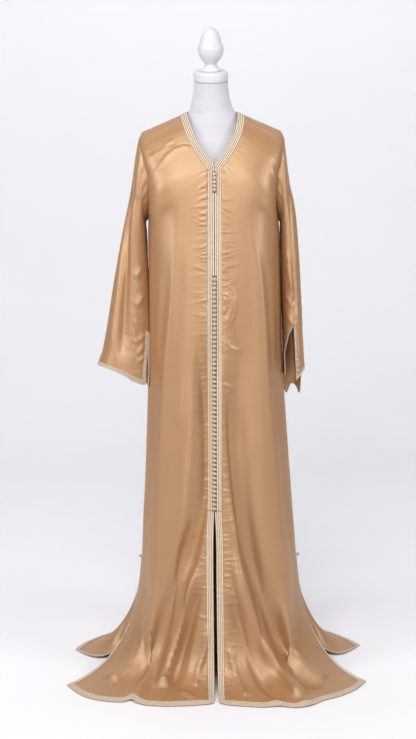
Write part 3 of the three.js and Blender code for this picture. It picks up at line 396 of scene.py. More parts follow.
class Cloth:
    """A piece of cloth as a grid of points over numbered columns and rows."""

    def __init__(self, cols, rows, points, turn):
        self.cols, self.rows, self.points, self.turn = cols, rows, points, turn
        self.renew()

    def renew(self):
        self.normals = grid_normals(self.points, self.turn)

    def raise_by(self, height):
        self.points = self.points + self.normals * height[..., None]
        self.points[..., 2] = np.maximum(self.points[..., 2], WALL)
        self.renew()

    def at(self, c, r):
        """Points and outward normals at any columns and rows."""
        c, r = np.broadcast_arrays(np.atleast_1d(c).astype(float), np.atleast_1d(r).astype(float))
        j = np.interp(c, self.cols, np.arange(len(self.cols)))
        i = np.interp(r, self.rows, np.arange(len(self.rows)))
        j0 = np.clip(j.astype(int), 0, len(self.cols) - 2)
        i0 = np.clip(i.astype(int), 0, len(self.rows) - 2)
        fj, fi = (j - j0)[..., None], (i - i0)[..., None]

        def pick(a):
            return ((a[i0, j0] * (1 - fj) + a[i0, j0 + 1] * fj) * (1 - fi)
                    + (a[i0 + 1, j0] * (1 - fj) + a[i0 + 1, j0 + 1] * fj) * fi)
        return pick(self.points), unit(pick(self.normals))

    def nearest(self, place, allowed):
        """The cloth's own point nearest a place that is given as (x, z) only."""
        away = (self.points[..., 0] - place[0]) ** 2 + (self.points[..., 2] - place[1]) ** 2
        away = np.where(allowed, away, FAR)
        return self.points.reshape(-1, 3)[np.argmin(away)]

    def ridge(self, path, width, out, other_width, end, power):
        """Height of a ridge (or trough) that follows a path of points on the cloth."""
        path = np.asarray(path, float)
        along = lengths(path)
        steps = 25
        fine = np.linspace(0, along[-1], steps + 1)
        path = np.stack([smooth(along, path[:, a], fine) for a in range(3)], -1)
        best = np.full(self.points.shape[:2], FAR)
        place = np.zeros_like(best)
        sign = np.ones_like(best)
        for n in range(steps):
            a, way = path[n], path[n + 1] - path[n]
            t = clamp(((self.points - a) @ way) / (way @ way))
            off = self.points - (a + t[..., None] * way)
            d = np.linalg.norm(off, axis=-1)
            nearer = d < best
            best = np.where(nearer, d, best)
            place = np.where(nearer, (n + t) / steps, place)
            turn = np.einsum("ijk,ijk->ij", np.cross(self.normals, way), off)
            sign = np.where(nearer, np.sign(turn), sign)
        w = np.where(sign > 0, width, other_width)
        rise = ease(place / 0.25) * ease((1 - place) / end)
        return out * np.exp(-(best / w) ** power) * rise


def panel(face, side, cols, rows):
    """One half of the dress, front or back, with its largest folds."""
    upper = rows[rows <= SIDE_SLIT_ROW]
    lower = rows[rows > SIDE_SLIT_ROW]
    top = upper_points(face, side, cols, upper)
    points = np.concatenate([top, train_points(face, side, cols, top[-1], lower)])
    cloth = Cloth(cols, rows, points, -side if face == "front" else side)
    fade = 1 - 0.5 * clamp(rows - BRAID_ROW)
    cloth.raise_by(fold_height(face, side, shares_of(face, cols), rows) * fade[:, None])
    return cloth


def softened(cloth, held):
    """Evens out the change of slope below the V and the armholes, away from the columns held."""
    start, end, reach = 6.2, 13, 0.7
    size = int(reach / np.mean(np.diff(cloth.rows)))
    kernel = np.exp(-(np.arange(-2 * size, 2 * size + 1) / size) ** 2)
    kernel /= kernel.sum()
    padded = np.pad(cloth.points, ((2 * size, 2 * size), (0, 0), (0, 0)), mode="edge")
    even = sum(k * padded[n:n + len(cloth.rows)] for n, k in enumerate(kernel))
    weight = ease((cloth.rows - start) / 1.5) * ease((end - cloth.rows) / 1.5)
    away = np.min([ease(np.abs(cloth.cols - c) / 2.5) for c in held], axis=0)
    cloth.points = mix(cloth.points, even, (weight[:, None] * away[None, :])[..., None])
    cloth.renew()


def round_corner(cloth, edge, inside, share):
    """Rounds the corner where a slit meets the hem."""
    places = ((edge, HEM_ROW), (edge, BRAID_ROW), (inside, HEM_ROW))
    corner, up, along = (cloth.at(*place)[0] for place in places)
    move = share * ((up + along) / 2 - corner)
    weight = clamp(cloth.rows - BRAID_ROW)[:, None] * clamp(1 - np.abs(cloth.cols - edge))[None, :]
    cloth.points = cloth.points + weight[..., None] * move
    cloth.renew()


def seamed(cloth, back, edges, shoulder):
    """Moves the side and shoulder edges off the seam line; back is -1 for a front and 1 for the back."""
    side_rows = np.interp(cloth.rows, [7, 8, SIDE_SLIT_ROW, SIDE_SLIT_ROW + 1], [0, 1, 1, 0])
    for edge in edges:
        near = clamp(1 - np.abs(cloth.cols - edge))
        cloth.points[..., 1] += back * HALF_SEAM * side_rows[:, None] * near[None, :]
    cloth.points[..., 1] += back * HALF_SEAM * (clamp(1 - cloth.rows)[:, None] * shoulder[None, :])
    cloth.renew()


def spaced(*runs):
    """Sorted places from runs of (start, end, steps)."""
    return np.unique(np.round(np.concatenate([np.linspace(a, b, n + 1) for a, b, n in runs]), 6))


def puckers(cloth, edge, inside, seed, marks, rate, tall, wide, reach, low):
    """Small creases that run in from a braided edge: marks gives strength by row."""
    random = np.random.default_rng(seed)
    j, first = (int(np.argmin(np.abs(cloth.cols - c))) for c in (inside, edge))
    along = lengths(cloth.points[:, j])
    full = np.zeros(cloth.points.shape[:2])
    if inside > edge:
        full[:, first:] = lengths(cloth.points[:, first:])
    else:
        full[:, :first + 1] = lengths(cloth.points[:, first::-1])[:, ::-1]
    d = full - full[:, j][:, None]
    height = np.zeros_like(full)
    strength = np.interp(cloth.rows, [m[0] for m in marks], [m[1] for m in marks])
    s = 0.0
    while s < along[-1]:
        s += rate * random.uniform(0.6, 1.5)
        power = np.interp(s, along, strength)
        size = random.uniform(0.35, 1.0) ** 1.2
        tilt = random.normal(0.0, 0.22)
        curl = random.normal(0.0, 0.003)
        length = reach * random.uniform(0.45, 1.6)
        width = wide * random.uniform(0.75, 1.5)
        if power < 0.02:
            continue
        off = along[:, None] - s - tilt * d - curl * d * d
        rise = np.exp(-(np.maximum(d - 3, 0) / length) ** 2) * mix(low, 1, ease((d + 3) / 6))
        height += tall * power * size * np.exp(-(off / width) ** 2) * rise
    return height


def waves(cloth, seed, size, long):
    """Slow unevenness over the whole piece, longer from top to bottom."""
    random = np.random.default_rng(seed)
    height = np.zeros(cloth.points.shape[:2])
    count = 9
    for _ in range(count):
        way = unit(random.normal(size=3)) * np.array([1.0, 1.0, 0.45])
        rate = 2 * math.pi / (long * random.uniform(0.6, 1.6))
        height += np.sin(cloth.points @ way * rate + random.uniform(0, 6.28))
    return height * size / math.sqrt(count)


# Mesh making
def linked(name, data):
    """A new object of some data, set in the scene."""
    made = bpy.data.objects.new(name, data)
    bpy.context.scene.collection.objects.link(made)
    return made


def add_object(name, points, faces, uv=None, sharp=50):
    mesh = bpy.data.meshes.new(name)
    mesh.from_pydata(np.asarray(points) * MM, [], faces)
    if uv is not None:
        loops = np.empty(len(mesh.loops), np.int32)
        mesh.loops.foreach_get("vertex_index", loops)
        layer = mesh.uv_layers.new(name="cloth")
        layer.uv.foreach_set("vector", np.asarray(uv, np.float32)[loops].ravel())
    mesh.shade_smooth()
    if sharp:
        mesh.set_sharp_from_angle(angle=math.radians(sharp))
    return linked(name, mesh)


def grid_faces(count_rows, count_cols, first, flip):
    i, j = np.meshgrid(np.arange(count_rows - 1), np.arange(count_cols - 1), indexing="ij")
    a = first + i * count_cols + j
    quads = np.stack([a, a + count_cols, a + count_cols + 1, a + 1], -1).reshape(-1, 4)
    return quads[:, ::-1] if flip else quads


def shell_faces(nr, nc, flip):
    """Quads of a closed shell: the outer grid, the inner grid and the four rims."""
    n = nr * nc
    outer = grid_faces(nr, nc, 0, flip)
    inner = grid_faces(nr, nc, n, not flip)
    loop = np.concatenate([
        np.arange(nc - 1), np.arange(nr - 1) * nc + nc - 1,
        (nr - 1) * nc + np.arange(nc - 1, 0, -1), np.arange(nr - 1, 0, -1) * nc])
    nxt = np.roll(loop, -1)
    rim = np.stack([loop, nxt, nxt + n, loop + n], -1)
    return np.concatenate([outer, inner, rim[:, ::-1] if flip else rim])


def cloth_object(name, cloth, flip):
    outer = cloth.points
    inner = outer - cloth.normals * CLOTH
    inner[..., 2] = np.maximum(inner[..., 2], 0.4)
    nr, nc = outer.shape[:2]
    across = lengths(outer)
    across = across - across[:, nc // 2][:, None]
    uv = np.stack([across, lengths_down(outer)], -1).reshape(-1, 2) * MM
    points = np.concatenate([outer.reshape(-1, 3), inner.reshape(-1, 3)])
    return add_object(name, points, shell_faces(nr, nc, flip), np.concatenate([uv, uv]), sharp=60)


CORDS = 4  # cords side by side in a full braid
BRAID_UV = 0.02  # width of a braid in its flat layout, in metres
BUTTON_ROWS = [(1317, 1278, 5), (1053.8, 464.2, 53)]  # heights of the first and last button, and how many
ACROSS = np.linspace(0, 1, CORDS * 5 + 1)


def band_height(u, cords):
    """Section of the braid: cords lying side by side on a thin ground."""
    tall = 1.0 if cords > 2 else 1.4
    return GAP + 0.3 + tall * np.abs(np.sin(u * cords * math.pi)) ** 0.6


def band_object(name, strips, flip):
    """Braid along strips: each is (cloth, cords, inner columns, inner rows, outer columns, outer rows)."""
    points, faces, uvs = [], [], []
    base = 0
    v0 = 0.0
    for cloth, cords, ci, ri, co, ro in strips:
        c = mix(ci[:, None], co[:, None], ACROSS[None, :])
        r = mix(ri[:, None], ro[:, None], ACROSS[None, :])
        p, n = cloth.at(c, r)
        top = p + n * band_height(ACROSS, cords)[None, :, None]
        low = p + n * GAP
        top[..., 2] = np.maximum(top[..., 2], WALL + 0.5)
        low[..., 2] = np.maximum(low[..., 2], WALL)
        nr, nc = top.shape[:2]
        along = lengths_down(p)[:, nc // 2] + v0
        v0 = along[-1]
        uv = np.stack(np.broadcast_arrays(ACROSS[None, :] * BRAID_UV, along[:, None] * MM), -1).reshape(-1, 2)
        points += [top.reshape(-1, 3), low.reshape(-1, 3)]
        uvs += [uv, uv]
        faces.append(shell_faces(nr, nc, flip) + base)
        base += 2 * nr * nc
    return add_object(name, np.concatenate(points), np.concatenate(faces), np.concatenate(uvs), sharp=70)


def run(a, b, step):
    return np.linspace(a, b, max(int(abs(b - a) / step) + 1, 2))


def corner_turn(inner, start, corner, end):
    """Stations of the braid round a corner: the inner edge stays, the outer edge follows the cloth's edge."""
    t = np.linspace(0, 1, 15)
    first = t <= 0.5
    co, ro = (np.where(first, mix(a, b, t * 2), mix(b, c, t * 2 - 1)) for a, b, c in zip(start, corner, end))
    ci = inner[0] + (co - inner[0]) * 0.04
    ri = inner[1] + (ro - inner[1]) * 0.04
    return ci, ri, co, ro


def chain(*stretches):
    """Stretches of a braid, one after the other."""
    return tuple(np.concatenate([p[i] for p in stretches]) for i in range(4))


def straight(*edges):
    """A stretch of braid: columns and rows of its inner and outer edge, each a run or one value."""
    return tuple(np.broadcast_arrays(*[np.asarray(e, float) for e in edges]))


# Front panels
FRONT_COLS = spaced((0, 1, 6), (1, 3.4, 22), (3.4, 13, 36), (13, 14, 5))
FRONT_ROWS = spaced((0, 8, 96), (8, 23, 300), (23, 36, 96), (36, 37, 8))
fronts = {side: panel("front", side, FRONT_COLS, FRONT_ROWS) for side in SIDES}

# Creases on the front: a path down the panel, width, height out, width of the other side, and sharpness
# (1 is a pressed line, 2 a soft roll). A path's points are (x, z), or (x, y, z) on the floor.
FRONT_CREASES = {
    -1: [
        [[(-86, 1278), (-96, 1150), (-105, 1025), (-132, 766), (-157, 475),
          (-180, 203)], 30, 4.5, 9, 1.2],
        [[(-112, 1150), (-124, 1000), (-150, 740), (-176, 470), (-196, 290)], 13, -3, 13, 2],
        [[(-34, -142, 960), (-32, -152, 820), (-30, -160, 700), (-31, -167, 590), (-36, -172, 490),
          (-50, -174, 424), (-72, -175, 370), (-98, -173, 299), (-123, -170, 224), (-150, -172, 140),
          (-180, -188, 64), (-212, -211, 27), (-247, -246, 12)], 34, -24, 18, 2],
        [[(-60, 1200), (-64, 1060), (-80, 860), (-98, 640)], 16, 3, 20, 2],
        [[(-160, 1350), (-131, 1380), (-92, 1404)], 4.5, 2.6, 7, 1.5],
        [[(-150, 1362), (-118, 1388), (-84, 1396)], 4, -2, 5, 2],
        [[(-128, 1345), (-110, 1366), (-70, 1386), (-50, 1384)], 4.5, 2.4, 7, 1.5],
        [[(-143, 1322), (-128, 1345), (-112, 1360)], 4, 1.8, 6, 2],
        [[(-100, 1382), (-72, 1392), (-52, 1390)], 3.5, -1.5, 4, 2],
        [[(-47, -181, 330), (-65, -179, 245), (-86, -182, 164), (-107, -191, 100), (-124, -216, 46),
          (-141, -272, 16)], 11, 22, 20, 2],
        [[(-42, -185, 300), (-50, -186, 245), (-64, -185, 190), (-83, -191, 115), (-103, -209, 56),
          (-120, -287, 14)], 20, -15, 14, 2],
        [[(-181, -106, 230), (-189, -121, 119), (-205, -150, 66), (-225, -175, 39), (-258, -199, 27),
          (-280, -222, 18)], 15, 11, 22, 2],
        [[(-22, -198, 170), (-29, -208, 99), (-45, -226, 52), (-53, -270, 20)], 6, 8, 12, 2],
        [[(-60, -330, 8), (-75, -300, 12), (-96, -292, 14)], 8, 5, 10, 2],
    ],
    1: [
        [[(78, 1277), (104, 1150), (124, 1023), (139, 774), (164, 498), (177, 308),
          (221, 60)], 9, 4.5, 30, 1.2],
        [[(118, 1180), (142, 1000), (158, 740), (184, 470), (200, 290)], 13, -3, 13, 2],
        [[(20, 876), (26, 700), (50, 480), (66, 340)], 12, 6, 16, 2],
        [[(58, 1010), (66, 760), (78, 600), (92, 426), (112, 209)], 36, -7, 18, 2],
        [[(28, 1030), (40, 1012), (46, 985), (38, 955), (26, 940)], 4, 3, 6, 2],
        [[(26, 1048), (46, 1030), (56, 1000), (52, 962), (36, 930)], 4.5, 2.6, 7, 2],
        [[(26, 1012), (33, 1000), (34, 982), (26, 966)], 3.4, 2.4, 4, 2],
        [[(150, 1335), (158, 1316), (165, 1296)], 3.5, 2, 4, 2],
        [[(24, 905), (44, 880), (70, 868)], 5, 2.2, 9, 2],
        [[(44, -185, 370), (56, -188, 292), (82, -188, 192), (121, -190, 97), (164, -221, 37),
          (210, -338, 11)], 20, 22, 13, 2],
        [[(36, -191, 249), (58, -198, 158), (87, -211, 77), (123, -255, 22),
          (166, -355, 5)], 14, -15, 18, 2],
        [[(34, -150, 840), (38, -161, 700), (44, -168, 600), (53, -172, 515), (67, -173, 422),
          (80, -173, 355), (114, -170, 239), (150, -174, 129), (192, -211, 52),
          (238, -301, 12)], 34, -22, 15, 2],
        [[(173, -152, 211), (188, -163, 125), (210, -175, 67), (238, -200, 36),
          (286, -222, 17)], 22, 9, 16, 2],
        [[(155, -159, 212), (173, -169, 115), (199, -201, 54), (232, -237, 25),
          (283, -268, 9)], 12, -10, 18, 2],
        [[(32, -204, 117), (40, -221, 62), (56, -261, 23), (73, -318, 10)], 12, 8, 8, 2],
    ],
}


def creased(cloth, creases, allowed):
    """Height of all creases of a piece."""
    height = np.zeros(cloth.points.shape[:2])
    for path, width, out, other, power in creases:
        on_floor = len(path[0]) == 3
        spots = path if on_floor else [cloth.nearest(p, allowed) for p in path]
        height += cloth.ridge(spots, width, out, other, 0.07 if on_floor and out > 0 else 0.15, power)
    return height


def upper_part(cloth):
    """Where creases that are given as (x, z) may lie."""
    return np.broadcast_to((cloth.rows <= 25)[:, None], cloth.points.shape[:2])


def raised(cloth, height):
    """Raises the creases, less along the hem under the braid."""
    cloth.raise_by(height * np.interp(cloth.rows, [35.4, BRAID_ROW], [1, 0.25])[:, None])


SIDE_MARKS = [(22, 0.3), (24, 0.7), (34, 0.6), (36, 0.1)]
PLACKET_MARKS = [
    (5, 0.3), (6, 0.9), (7, 1.1), (11.5, 1.2), (12, 1.0), (14, 0.8), (17, 0.8), (20, 1.4), (22, 1.9),
    (26, 1.7), (28, 1.0), (34, 0.9), (36, 0.1)]
for side in SIDES:
    cloth = fronts[side]
    softened(cloth, (FRONT_EDGE,))
    height = waves(cloth, 11 + side, 0.5, 150) + creased(cloth, FRONT_CREASES[side], upper_part(cloth))
    height += puckers(cloth, 0, 1, 21 + side, PLACKET_MARKS, rate=6.5, tall=1.9, wide=2.5, reach=19, low=0.35)
    marks = [(0, 0), (1, 0.5), (7, 0.9), (8, 0.3)] + SIDE_MARKS
    height += puckers(cloth, FRONT_EDGE, 13, 31 + side, marks, rate=10, tall=1.6, wide=3.4, reach=18, low=0.2)
    raised(cloth, height)
    round_corner(cloth, FRONT_EDGE, 13, 0.12)
    round_corner(cloth, 0, 1, 0.4)
    seamed(cloth, -1, [FRONT_EDGE], np.ones(len(cloth.cols)))

# Back panel from its two halves
BACK_HALF = spaced((0, 3, 14), (3, 4, 5), (4, 9, 22), (9, 10, 5))
BACK_ROWS = spaced((0, 8, 70), (8, 23, 170), (23, 36, 80), (36, 37, 6))
backs = {side: panel("back", side, BACK_HALF, BACK_ROWS) for side in SIDES}
for side in SIDES:
    round_corner(backs[side], BACK_EDGE, 9, 0.12)
back_points = np.concatenate([
    backs[-1].points[:, :0:-1],
    (backs[-1].points[:, :1] + backs[1].points[:, :1]) / 2,
    backs[1].points[:, 1:]], 1)
back = Cloth(np.concatenate([-BACK_HALF[:0:-1], BACK_HALF]), BACK_ROWS, back_points, 1)
BACK_CREASES = [
    [[(-70, 1200), (-86, 900), (-104, 600), (-120, 300)], 12, 4, 26, 1.3],
    [[(-20, 1150), (-24, 850), (-30, 520), (-34, 300)], 14, -4, 20, 2],
    [[(46, 1180), (58, 900), (70, 620), (84, 320)], 12, 4, 24, 1.3],
    [[(96, 1130), (112, 860), (128, 560), (146, 320)], 13, -3.4, 18, 2],
    [[(-120, 1385), (-80, 1400), (-50, 1404)], 5, 2, 8, 1.5],
    [[(60, 1398), (96, 1390), (130, 1368)], 5, 1.9, 8, 1.5],
    [[(-60, 170, 260), (-72, 186, 120), (-92, 226, 40), (-120, 290, 14)], 12, 13, 18, 2],
    [[(70, 168, 260), (88, 184, 120), (116, 222, 40), (150, 276, 14)], 18, 13, 12, 2],
    [[(-140, 120, 240), (-172, 138, 110), (-214, 160, 40), (-262, 186, 14)], 10, 11, 16, 2],
    [[(150, 118, 240), (186, 134, 110), (230, 156, 40), (280, 178, 14)], 16, 11, 10, 2],
    [[(-10, 172, 220), (-14, 196, 90), (-22, 250, 24), (-30, 320, 8)], 22, -8, 18, 2],
]
softened(back, (-BACK_EDGE, BACK_EDGE))
height = waves(back, 5, 0.6, 150) + creased(back, BACK_CREASES, upper_part(back))
marks = [(0, 0), (1, 0.4), (7, 0.6), (8, 0.3)] + SIDE_MARKS
for edge, inside, seed in ((-BACK_EDGE, -9, 41), (BACK_EDGE, 9, 42)):
    height += puckers(back, edge, inside, seed, marks, rate=14, tall=1.2, wide=4, reach=20, low=0.2)
raised(back, height)
seamed(back, 1, [-BACK_EDGE, BACK_EDGE], np.abs(back.cols) >= 3)


# Sleeves
def sleeve_ring(side, ring, c, s):
    """Points round a sleeve: c and s are the cosine and sine of their place round it."""
    def t(name):
        return value_at(SLEEVES[side], name, ring)[:, None]
    x_mid, z_mid = (t("xOuter") + t("xInner")) / 2, (t("zOuter") + t("zInner")) / 2
    arm = np.sign(c) * np.abs(c) ** 0.85
    x = x_mid + (t("xOuter") - x_mid) * arm
    z = z_mid + (t("zOuter") - z_mid) * arm
    lean = t("yInner") * (1 - c) / 2
    deep = np.where(s > 0, t("yFront"), t("yBack"))
    y = lean + (deep - lean) * np.abs(s) ** 0.85
    z = z + np.where(s > 0, 13 * s * (ring[:, None] / SLEEVE_RINGS) ** 2, 0)
    return np.stack([x, y, z], -1)


def armhole(side, place):
    """Edge of the armhole, sewn to the front up to the shoulder and to the back from there on."""
    hole = np.empty((len(place), 3))
    for k, a in enumerate(place):
        own, last, row = (fronts[side], FRONT_EDGE, a) if a <= 8 else (back, BACK_EDGE * side, 16 - a)
        p = own.at(last, row)[0]
        before = own.at(last - 0.3 * (1 if last > 0 else -1), row)[0]
        hole[k] = p[0] + 0.45 * unit(p[0] - before[0])
    return hole


def sleeve(side, cols, rows):
    place = (SLIT_PLACE[side] + cols) % 16
    angle = np.radians(22.5 * place)[None, :]
    grid = sleeve_ring(side, np.maximum(rows, 1), np.cos(angle), np.sin(angle))
    near = clamp(1 - rows)[:, None, None]
    grid = armhole(side, place)[None] * near + grid * (1 - near)
    open_ring = SLEEVE_SLIT[side]
    t = clamp((rows - open_ring) / (SLEEVE_RINGS - open_ring))
    inner, outer = (wide * clamp(3.2 * t) for wide in SLIT_OPEN[side])
    along = lengths(grid)
    for i in np.flatnonzero(t > 0):
        total = along[i, -1]
        grid[i] = moved_along(grid[i], along[i], mix(inner[i], total - outer[i], along[i] / total))
    grid[..., 2] -= t[:, None] * value_at(CUFF_DROPS[side], "drop", cols)[None, :]
    cloth = Cloth(cols, rows, grid, 1)
    if np.sum(cloth.normals * (grid - grid.mean(1, keepdims=True))) < 0:
        cloth.turn = -1
        cloth.renew()
    return cloth


SLEEVE_COLS = spaced((0, 1, 6), (1, 15, 100), (15, 16, 6))
SLEEVE_ROWS = spaced((0, 1, 8), (1, 13, 168), (13, 14, 8))
sleeves = {side: sleeve(side, SLEEVE_COLS, SLEEVE_ROWS) for side in SIDES}
SLEEVE_CREASES = {
    -1: [
        [[(-206, 1330), (-220, 1251), (-232, 1019), (-240, 830)], 20, -15, 11, 2],
        [[(-196, 1300), (-204, 1180), (-208, 1000), (-208, 850)], 9, 3, 14, 1.6],
        [[(-232, 1260), (-250, 1060), (-272, 860)], 20, 2.5, 24, 2],
        [[(-184, 1345), (-190, 1300), (-192, 1250)], 5, 2, 7, 2],
        [[(-180, 1080), (-192, 1060), (-203, 1052)], 6, 3, 9, 2],
        [[(-180, 1010), (-192, 985), (-202, 975)], 6, 2.8, 9, 2],
        [[(-176, 936), (-190, 930), (-206, 938)], 4, 2.8, 6, 1.5],
        [[(-176, 905), (-190, 890), (-204, 884)], 4, 2.6, 6, 1.5],
        [[(-178, 880), (-190, 860), (-202, 848)], 4, 2.6, 6, 2],
        [[(-178, 850), (-188, 836), (-200, 828)], 4, 2.4, 6, 2],
    ],
    1: [
        [[(196, 1330), (204, 1200), (206, 1060), (212, 940)], 9, -5, 12, 2],
        [[(216, 1290), (222, 1150), (226, 1000), (228, 880)], 14, 3.4, 12, 1.4],
        [[(188, 1130), (197, 1080), (204, 1020), (206, 980)], 5, 4, 7, 2],
        [[(190, 1090), (200, 1040), (212, 1010)], 5, 3, 8, 2],
        [[(188, 1010), (198, 985), (212, 972)], 5, 3, 8, 1.5],
        [[(190, 960), (200, 935), (214, 925)], 5, 2.8, 8, 1.5],
        [[(192, 920), (202, 900), (216, 896)], 5, 2.4, 8, 2],
        [[(214, 826), (224, 824), (238, 818)], 4, 2.2, 5, 2],
        [[(214, 808), (224, 806), (238, 802)], 4, 2.2, 5, 2],
    ],
}
marks = [(0, 0), (6, 0.2), (8, 0.8), (11, 1.0), (13, 0.5), (14, 0)]
for side in SIDES:
    cloth = sleeves[side]
    forward = cloth.normals[..., 1] < -0.15
    height = waves(cloth, 51 + side, 0.7, 110) + creased(cloth, SLEEVE_CREASES[side], forward)
    for edge, inside, seed in ((0, 1, 61), (16, 15, 71)):
        height += puckers(cloth, edge, inside, seed + side, marks, rate=13, tall=1.8, wide=4, reach=24, low=0.3)
    around = (SLIT_PLACE[side] + cloth.cols) % 16
    gather = np.sin(around * math.pi * 2 * 1.6 + 2 * np.sin(around))
    gather = gather * np.exp(-((cloth.rows - 0.7) / 0.7) ** 2)[:, None]
    height += 0.8 * gather * clamp(cloth.rows * 3)[:, None]
    cloth.raise_by(height * np.interp(cloth.rows, [0, 0.4], [0, 1])[:, None])
    seam = cloth.rows <= SLEEVE_SLIT[side]
    joined = unit((cloth.normals[:, 0] + cloth.normals[:, -1]) / 2)
    cloth.normals[seam, 0] = joined[seam]
    cloth.normals[seam, -1] = joined[seam]

pieces = {}


def keep(piece):
    pieces[piece.name] = piece


for side in SIDES:
    keep(cloth_object("front_cloth_" + NAMES[side], fronts[side], side > 0))
    keep(cloth_object("sleeve_cloth_" + NAMES[side], sleeves[side], sleeves[side].turn > 0))
keep(cloth_object("back_cloth", back, True))

# Braid
for side in SIDES:
    f = fronts[side]
    rows = run(6.02, 19.98, 0.055)
    keep(band_object("placket_band_" + NAMES[side], [(f, CORDS, *straight(1, rows, 0, rows))], side < 0))
    down = run(20.02, BRAID_ROW, 0.075)
    up = run(BRAID_ROW, SIDE_SLIT_ROW, 0.09)
    foot = run(1, FRONT_EDGE, 0.1)
    path = chain(
        straight(1, down, 0, down),
        corner_turn((1, BRAID_ROW), (0, BRAID_ROW), (0, HEM_ROW), (1, HEM_ROW)),
        straight(foot, BRAID_ROW, foot, HEM_ROW))
    trim = straight(13, up, FRONT_EDGE, up)
    keep(band_object("hem_band_" + NAMES[side], [(f, CORDS, *path), (f, 1, *trim)], side < 0))
    s = sleeves[side]
    top = SLEEVE_SLIT[side] - (1.0 if side < 0 else 0.0)
    edge, lip, cords = (0.75, 13.2, 4) if side < 0 else (0.35, 13.45, 2)
    fall = run(top, lip, 0.06)
    rim = run(edge, 16 - edge, 0.12)
    path = chain(
        straight(edge, fall, 0, fall),
        corner_turn((edge, lip), (0, lip), (0, SLEEVE_RINGS), (edge, SLEEVE_RINGS)),
        straight(rim, lip, rim, SLEEVE_RINGS),
        corner_turn((16 - edge, lip), (16 - edge, SLEEVE_RINGS), (16, SLEEVE_RINGS), (16, lip)),
        straight(16 - edge, fall[::-1], 16, fall[::-1]))
    keep(band_object("cuff_band_" + NAMES[side], [(s, cords, *path)], s.turn < 0))

down = run(SIDE_SLIT_ROW, BRAID_ROW, 0.09)
foot = run(-BACK_EDGE, BACK_EDGE, 0.09)
keep(band_object("hem_band_back", [
    (back, CORDS, *straight(foot, BRAID_ROW, foot, HEM_ROW)),
    (back, 1, *straight(-9, down, -BACK_EDGE, down)),
    (back, 1, *straight(9, down[::-1], BACK_EDGE, down[::-1]))], True))

# Neck braid: round the back of the neck and up both sides of the V
quarter = np.linspace(0, 1, 12) * math.pi / 2
rounded = 0.03 * np.linspace(0, 1, 12)
round_neck = run(-3, 3, 0.05)
path = chain(
    (np.full(12, -3.0), rounded, -3 - np.cos(quarter), np.sin(quarter)),
    straight(round_neck, 0, round_neck, 1),
    (np.full(12, 3.0), 0.03 * (1 - np.linspace(0, 1, 12)), 3 + np.sin(quarter), np.cos(quarter)))
rise = run(5.98, 0, 0.055)
neck_parts = [band_object("neck_band", [(back, CORDS, *path)], False)] + [
    band_object("neck_part_" + NAMES[side], [(fronts[side], CORDS, *straight(0, rise, 1, rise))], side > 0)
    for side in SIDES]
with bpy.context.temp_override(active_object=neck_parts[0], object=neck_parts[0], selected_objects=neck_parts,
                               selected_editable_objects=neck_parts):
    bpy.ops.object.join()
keep(neck_parts[0])


def at_height(z, line, values):
    """Values along a line of points, at given heights."""
    order = np.argsort(line[:, 2])
    return np.stack([np.interp(z, line[order, 2], values[order, a]) for a in range(3)], -1)


def middle_line(z):
    """Points and normals that the buttons follow, between the two fronts."""
    steps = 900
    rows = np.linspace(6, 20, steps)
    p = sum(fronts[s].at(0, rows)[0] for s in SIDES) / 2
    n = unit(sum(fronts[s].at(0.5, rows)[1] for s in SIDES))
    return at_height(z, p, p), unit(at_height(z, p, n))


def repeat_tree(name, shape, sizes, material):
    """Geometry Nodes that set one shape at each point, turned to the point's own normal and way."""
    tree = bpy.data.node_groups.new(name, "GeometryNodeTree")
    face = tree.interface
    face.new_socket("Geometry", in_out="INPUT", socket_type="NodeSocketGeometry")
    face.new_socket("Geometry", in_out="OUTPUT", socket_type="NodeSocketGeometry")
    for key in sizes:
        face.new_socket(key, in_out="INPUT", socket_type="NodeSocketFloat")
    nodes, links = tree.nodes, tree.links
    start, end = nodes.new("NodeGroupInput"), nodes.new("NodeGroupOutput")

    def node(kind, settings=None, inputs=None):
        made = nodes.new(kind)
        for key, value in (settings or {}).items():
            setattr(made, key, value)
        for key, value in (inputs or {}).items():
            socket = made.inputs[key]
            if isinstance(value, bpy.types.NodeSocket):
                links.new(value, socket)
            else:
                socket.default_value = value
        return made

    def named(key):
        found = node("GeometryNodeInputNamedAttribute", {"data_type": "FLOAT_VECTOR"}, {"Name": key})
        return found.outputs["Attribute"]

    solid = shape(node, start)
    points = node("GeometryNodeMeshToPoints", None, {"Mesh": start.outputs["Geometry"]})
    up = node("FunctionNodeAlignRotationToVector", {"axis": "Z"}, {"Vector": named("out")})
    turned = node("FunctionNodeAlignRotationToVector", {"axis": "X", "pivot_axis": "Z"},
                  {"Rotation": up.outputs["Rotation"], "Vector": named("way")})
    set_down = node("GeometryNodeInstanceOnPoints", None, {
        "Points": points.outputs["Points"], "Instance": solid, "Rotation": turned.outputs["Rotation"]})
    real = node("GeometryNodeRealizeInstances", None, {"Geometry": set_down.outputs["Instances"]})
    finish = node("GeometryNodeSetMaterial", None, {"Geometry": real.outputs["Geometry"], "Material": material})
    links.new(finish.outputs["Geometry"], end.inputs["Geometry"])
    return tree


